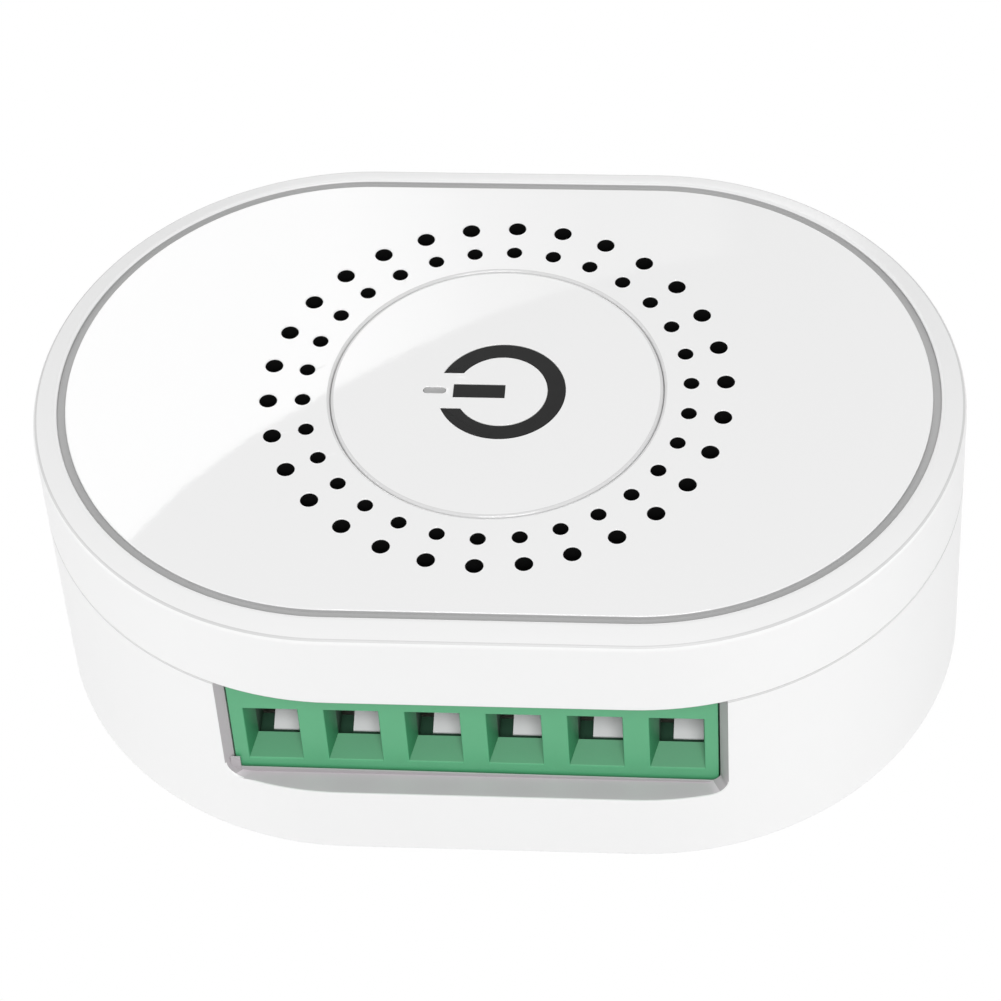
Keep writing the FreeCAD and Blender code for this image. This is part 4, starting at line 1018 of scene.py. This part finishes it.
def makeCage():
    x, y, low, high = poles[0], screw["y"], cage["low"], cage["high"]
    half, deep = cage["width"] / 2, cage["depth"] / 2
    piece = block("clampCage1", (x - half, y - deep, low), (x + half, y + deep, high))
    roundOff(piece, frontToBack, cage["round"], steps=4)
    carve(piece, block("window", (x - half + cage["wall"], y - deep - past, low + cage["nut"]),
                       (x + half - cage["wall"], y + deep + past, high - cage["roof"])))
    carve(piece, bar("nutHole", x, y, low - past, low + cage["nut"] + past,
                     screw["radius"] + cage["nutGap"], cage["nutSides"]))
    roundOff(piece, lambda part: every(part, lambda place: abs(abs(place.y - y) - deep) < touch)
             and along(part).length < cage["longest"], cage["soft"], steps=2)
    return tidyUp(piece)


def copyTo(piece, number, name):
    # the same piece at another pole, with its own mesh
    made = piece.copy()
    made.data = piece.data.copy()
    made.name = made.data.name = name
    bpy.context.collection.objects.link(made)
    work(made, "VERT")
    takeAll()
    shift(poles[number] - poles[0])
    return done(made)


for kind, first, body, slot, look, node in (
        ("terminalScrew", makeScrew(), "screw_%d", "screw_steel", "screwSteel", "terminal_screw_%d"),
        ("clampCage", makeCage(), "cage_%d", "cage_nickel", "cageNickel", "clamp_cage_%d")):
    rows = [first] + [copyTo(first, number, "%s%d" % (kind, number + 1)) for number in range(1, len(poles))]
    for number, piece in enumerate(rows, 1):
        finish(piece, body % number, slot, look, node % number)
print("screws and cages at", len(poles), "poles")

# camera at the photograph's angle
camera = {"azimuth": 7.19, "elevation": 48.61, "roll": -4.26, "lens": 148.36,
          "distance": 251.3, "target": (0.873, -9.072, 21.0),
          "nearest": 0.01, "farthest": 10}


def setCamera():
    turn, rise, roll = [math.radians(camera[key]) for key in ("azimuth", "elevation", "roll")]
    back = Vector((math.sin(turn) * math.cos(rise), -math.cos(turn) * math.cos(rise), math.sin(rise)))
    right = Vector((math.cos(turn), math.sin(turn), 0))
    up = back.cross(right)
    rolledRight = right * math.cos(roll) + up * math.sin(roll)
    rolledUp = up * math.cos(roll) - right * math.sin(roll)
    view = startWith(bpy.ops.object.camera_add, "Camera")
    view.data.lens = camera["lens"]
    view.data.clip_start = camera["nearest"]
    view.data.clip_end = camera["farthest"]
    view.matrix_world = Matrix.Translation((Vector(camera["target"]) + back * camera["distance"]) * mm) \
        @ Matrix((rolledRight, rolledUp, back)).transposed().to_4x4()
    bpy.context.scene.camera = view
    bpy.context.scene.view_settings.view_transform = "Standard"


setCamera()

# studio: pale floor, even room light, four soft lamps and the card that the plate mirrors
studio = {
    "room": 0.34, "floorSize": 3.0, "floorCloud": 40, "floorGreys": (0.86, 0.87), "floorLevel": -30,
    "floorRough": 0.9, "lampTarget": (0, 0, 10),
    # name, place, size and power
    "lamps": [("frontSoftbox", (75, -613, 663), 450, 5.1), ("leftSoftbox", (-780, -60, 200), 400, 1.8),
              ("rightSoftbox", (780, -60, 200), 400, 1.4), ("backSoftbox", (0, 700, 250), 400, 1.4)],
    "cardEdge": [(-80, 17), (-68.6, 9.0), (-58.8, 0.5), (-45.3, -8.2), (-28.1, -16.5), (-12.9, -22.7),
                 (2.2, -28.0), (21.0, -32.5), (39.6, -34.8), (54.3, -34.7), (68.8, -31.9)],
    # brightness along the card, by the share of its span
    "cardSpan": 160, "cardGlow": 10.0,
    "cardFall": [(0.0, 0.39), (0.126, 0.386), (0.338, 0.368), (0.394, 0.33), (0.44, 0.296), (0.49, 0.235),
                 (0.576, 0.187), (0.64, 0.155), (0.76, 0.145), (0.8, 0.1)],
    "cardNormal": (-0.0828, 0.6560, 0.7502), "cardMiddle": (-41.4, 328.0, 396.1),
    "cardAcross": (0.9921, 0.1252, 0), "cardDown": (0.0939, -0.7443, 0.6612), "cardFar": -75.0,
}


def seenRays(start):
    # 1 for what the camera sees, straight or in gloss and glass, and 0 for light on its way
    path = start.node("LightPath").socket.node.outputs
    kinds = [Wire(start.tree, path["Is %s Ray" % kind]) for kind in ("Camera", "Glossy", "Transmission")]
    return start.node("Math", {"operation": "ADD", "use_clamp": True},
                      {0: kinds[0] + kinds[1], 1: kinds[2]})


def setRoom():
    world = bpy.data.worlds.new("room")
    bpy.context.scene.world = world
    world.use_nodes = True
    tree = world.node_tree
    seen = seenRays(Wire(tree))
    room = tree.nodes["Background"]
    room.inputs["Color"].default_value = grey(1.0)
    strength = seen * (1.0 - studio["room"]) + studio["room"]
    tree.links.new(strength.socket, room.inputs["Strength"])


def setFloor():
    # below the object, only for the light it throws back
    floor = startWith(bpy.ops.mesh.primitive_plane_add, "floor", size=studio["floorSize"],
                      location=(0, 0, studio["floorLevel"] * mm))
    made = Finish("floorPale", Roughness=studio["floorRough"])
    cloud = made.noise(studio["floorCloud"])
    made.put("Base Color", made.mix(cloud, *map(grey, studio["floorGreys"])))
    floor.data.materials.append(made.material)
    floor.visible_camera = False
    floor.visible_glossy = False


def setLamp(name, place, size, power):
    where = [part * mm for part in place]
    lamp = startWith(bpy.ops.object.light_add, name, type="AREA", location=where)
    lamp.data.size = size * mm
    lamp.data.energy = power
    lamp.rotation_mode = "QUATERNION"
    away = Vector(place) - Vector(studio["lampTarget"])
    lamp.rotation_quaternion = away.to_track_quat("Z", "Y")


def setCard():
    # the window that the glossy plate mirrors: its curved edge crosses the button
    edge = studio["cardEdge"]
    card = startWith(bpy.ops.mesh.primitive_grid_add, "sheenCard", x_subdivisions=len(edge) - 1,
                     y_subdivisions=1, size=1)
    mesh = card.data
    for vert in mesh.vertices:
        column = round((vert.co.x + 0.5) * (len(edge) - 1))
        across, down = edge[column]
        if vert.co.y < 0:
            down = studio["cardFar"]
        vert.co = (across * mm, down * mm, 0)
    turned = Matrix((studio["cardAcross"], studio["cardDown"], studio["cardNormal"])).transposed().to_4x4()
    card.matrix_world = Matrix.Translation(Vector(studio["cardMiddle"]) * mm) @ turned
    made = Finish("sheenGlow")
    across = made.axes()[0]
    span = across * (1 / (studio["cardSpan"] * mm)) + 0.5
    stops = [(place, grey(value)) for place, value in studio["cardFall"]]
    fall = made.start.node("ValToRGB", {"stops": stops}, {"Fac": span})
    glow = made.start.node("Emission", inputs={"Color": grey(1.0), "Strength": fall * studio["cardGlow"]})
    made.tree.links.new(glow.socket, made.tree.nodes["Material Output"].inputs["Surface"])
    card.data.materials.append(made.material)
    card.visible_camera = False
    card.visible_diffuse = False
    card.visible_shadow = False


setRoom()
setFloor()
setCard()
for name, place, size, power in studio["lamps"]:
    setLamp(name, place, size, power)
print("studio set")
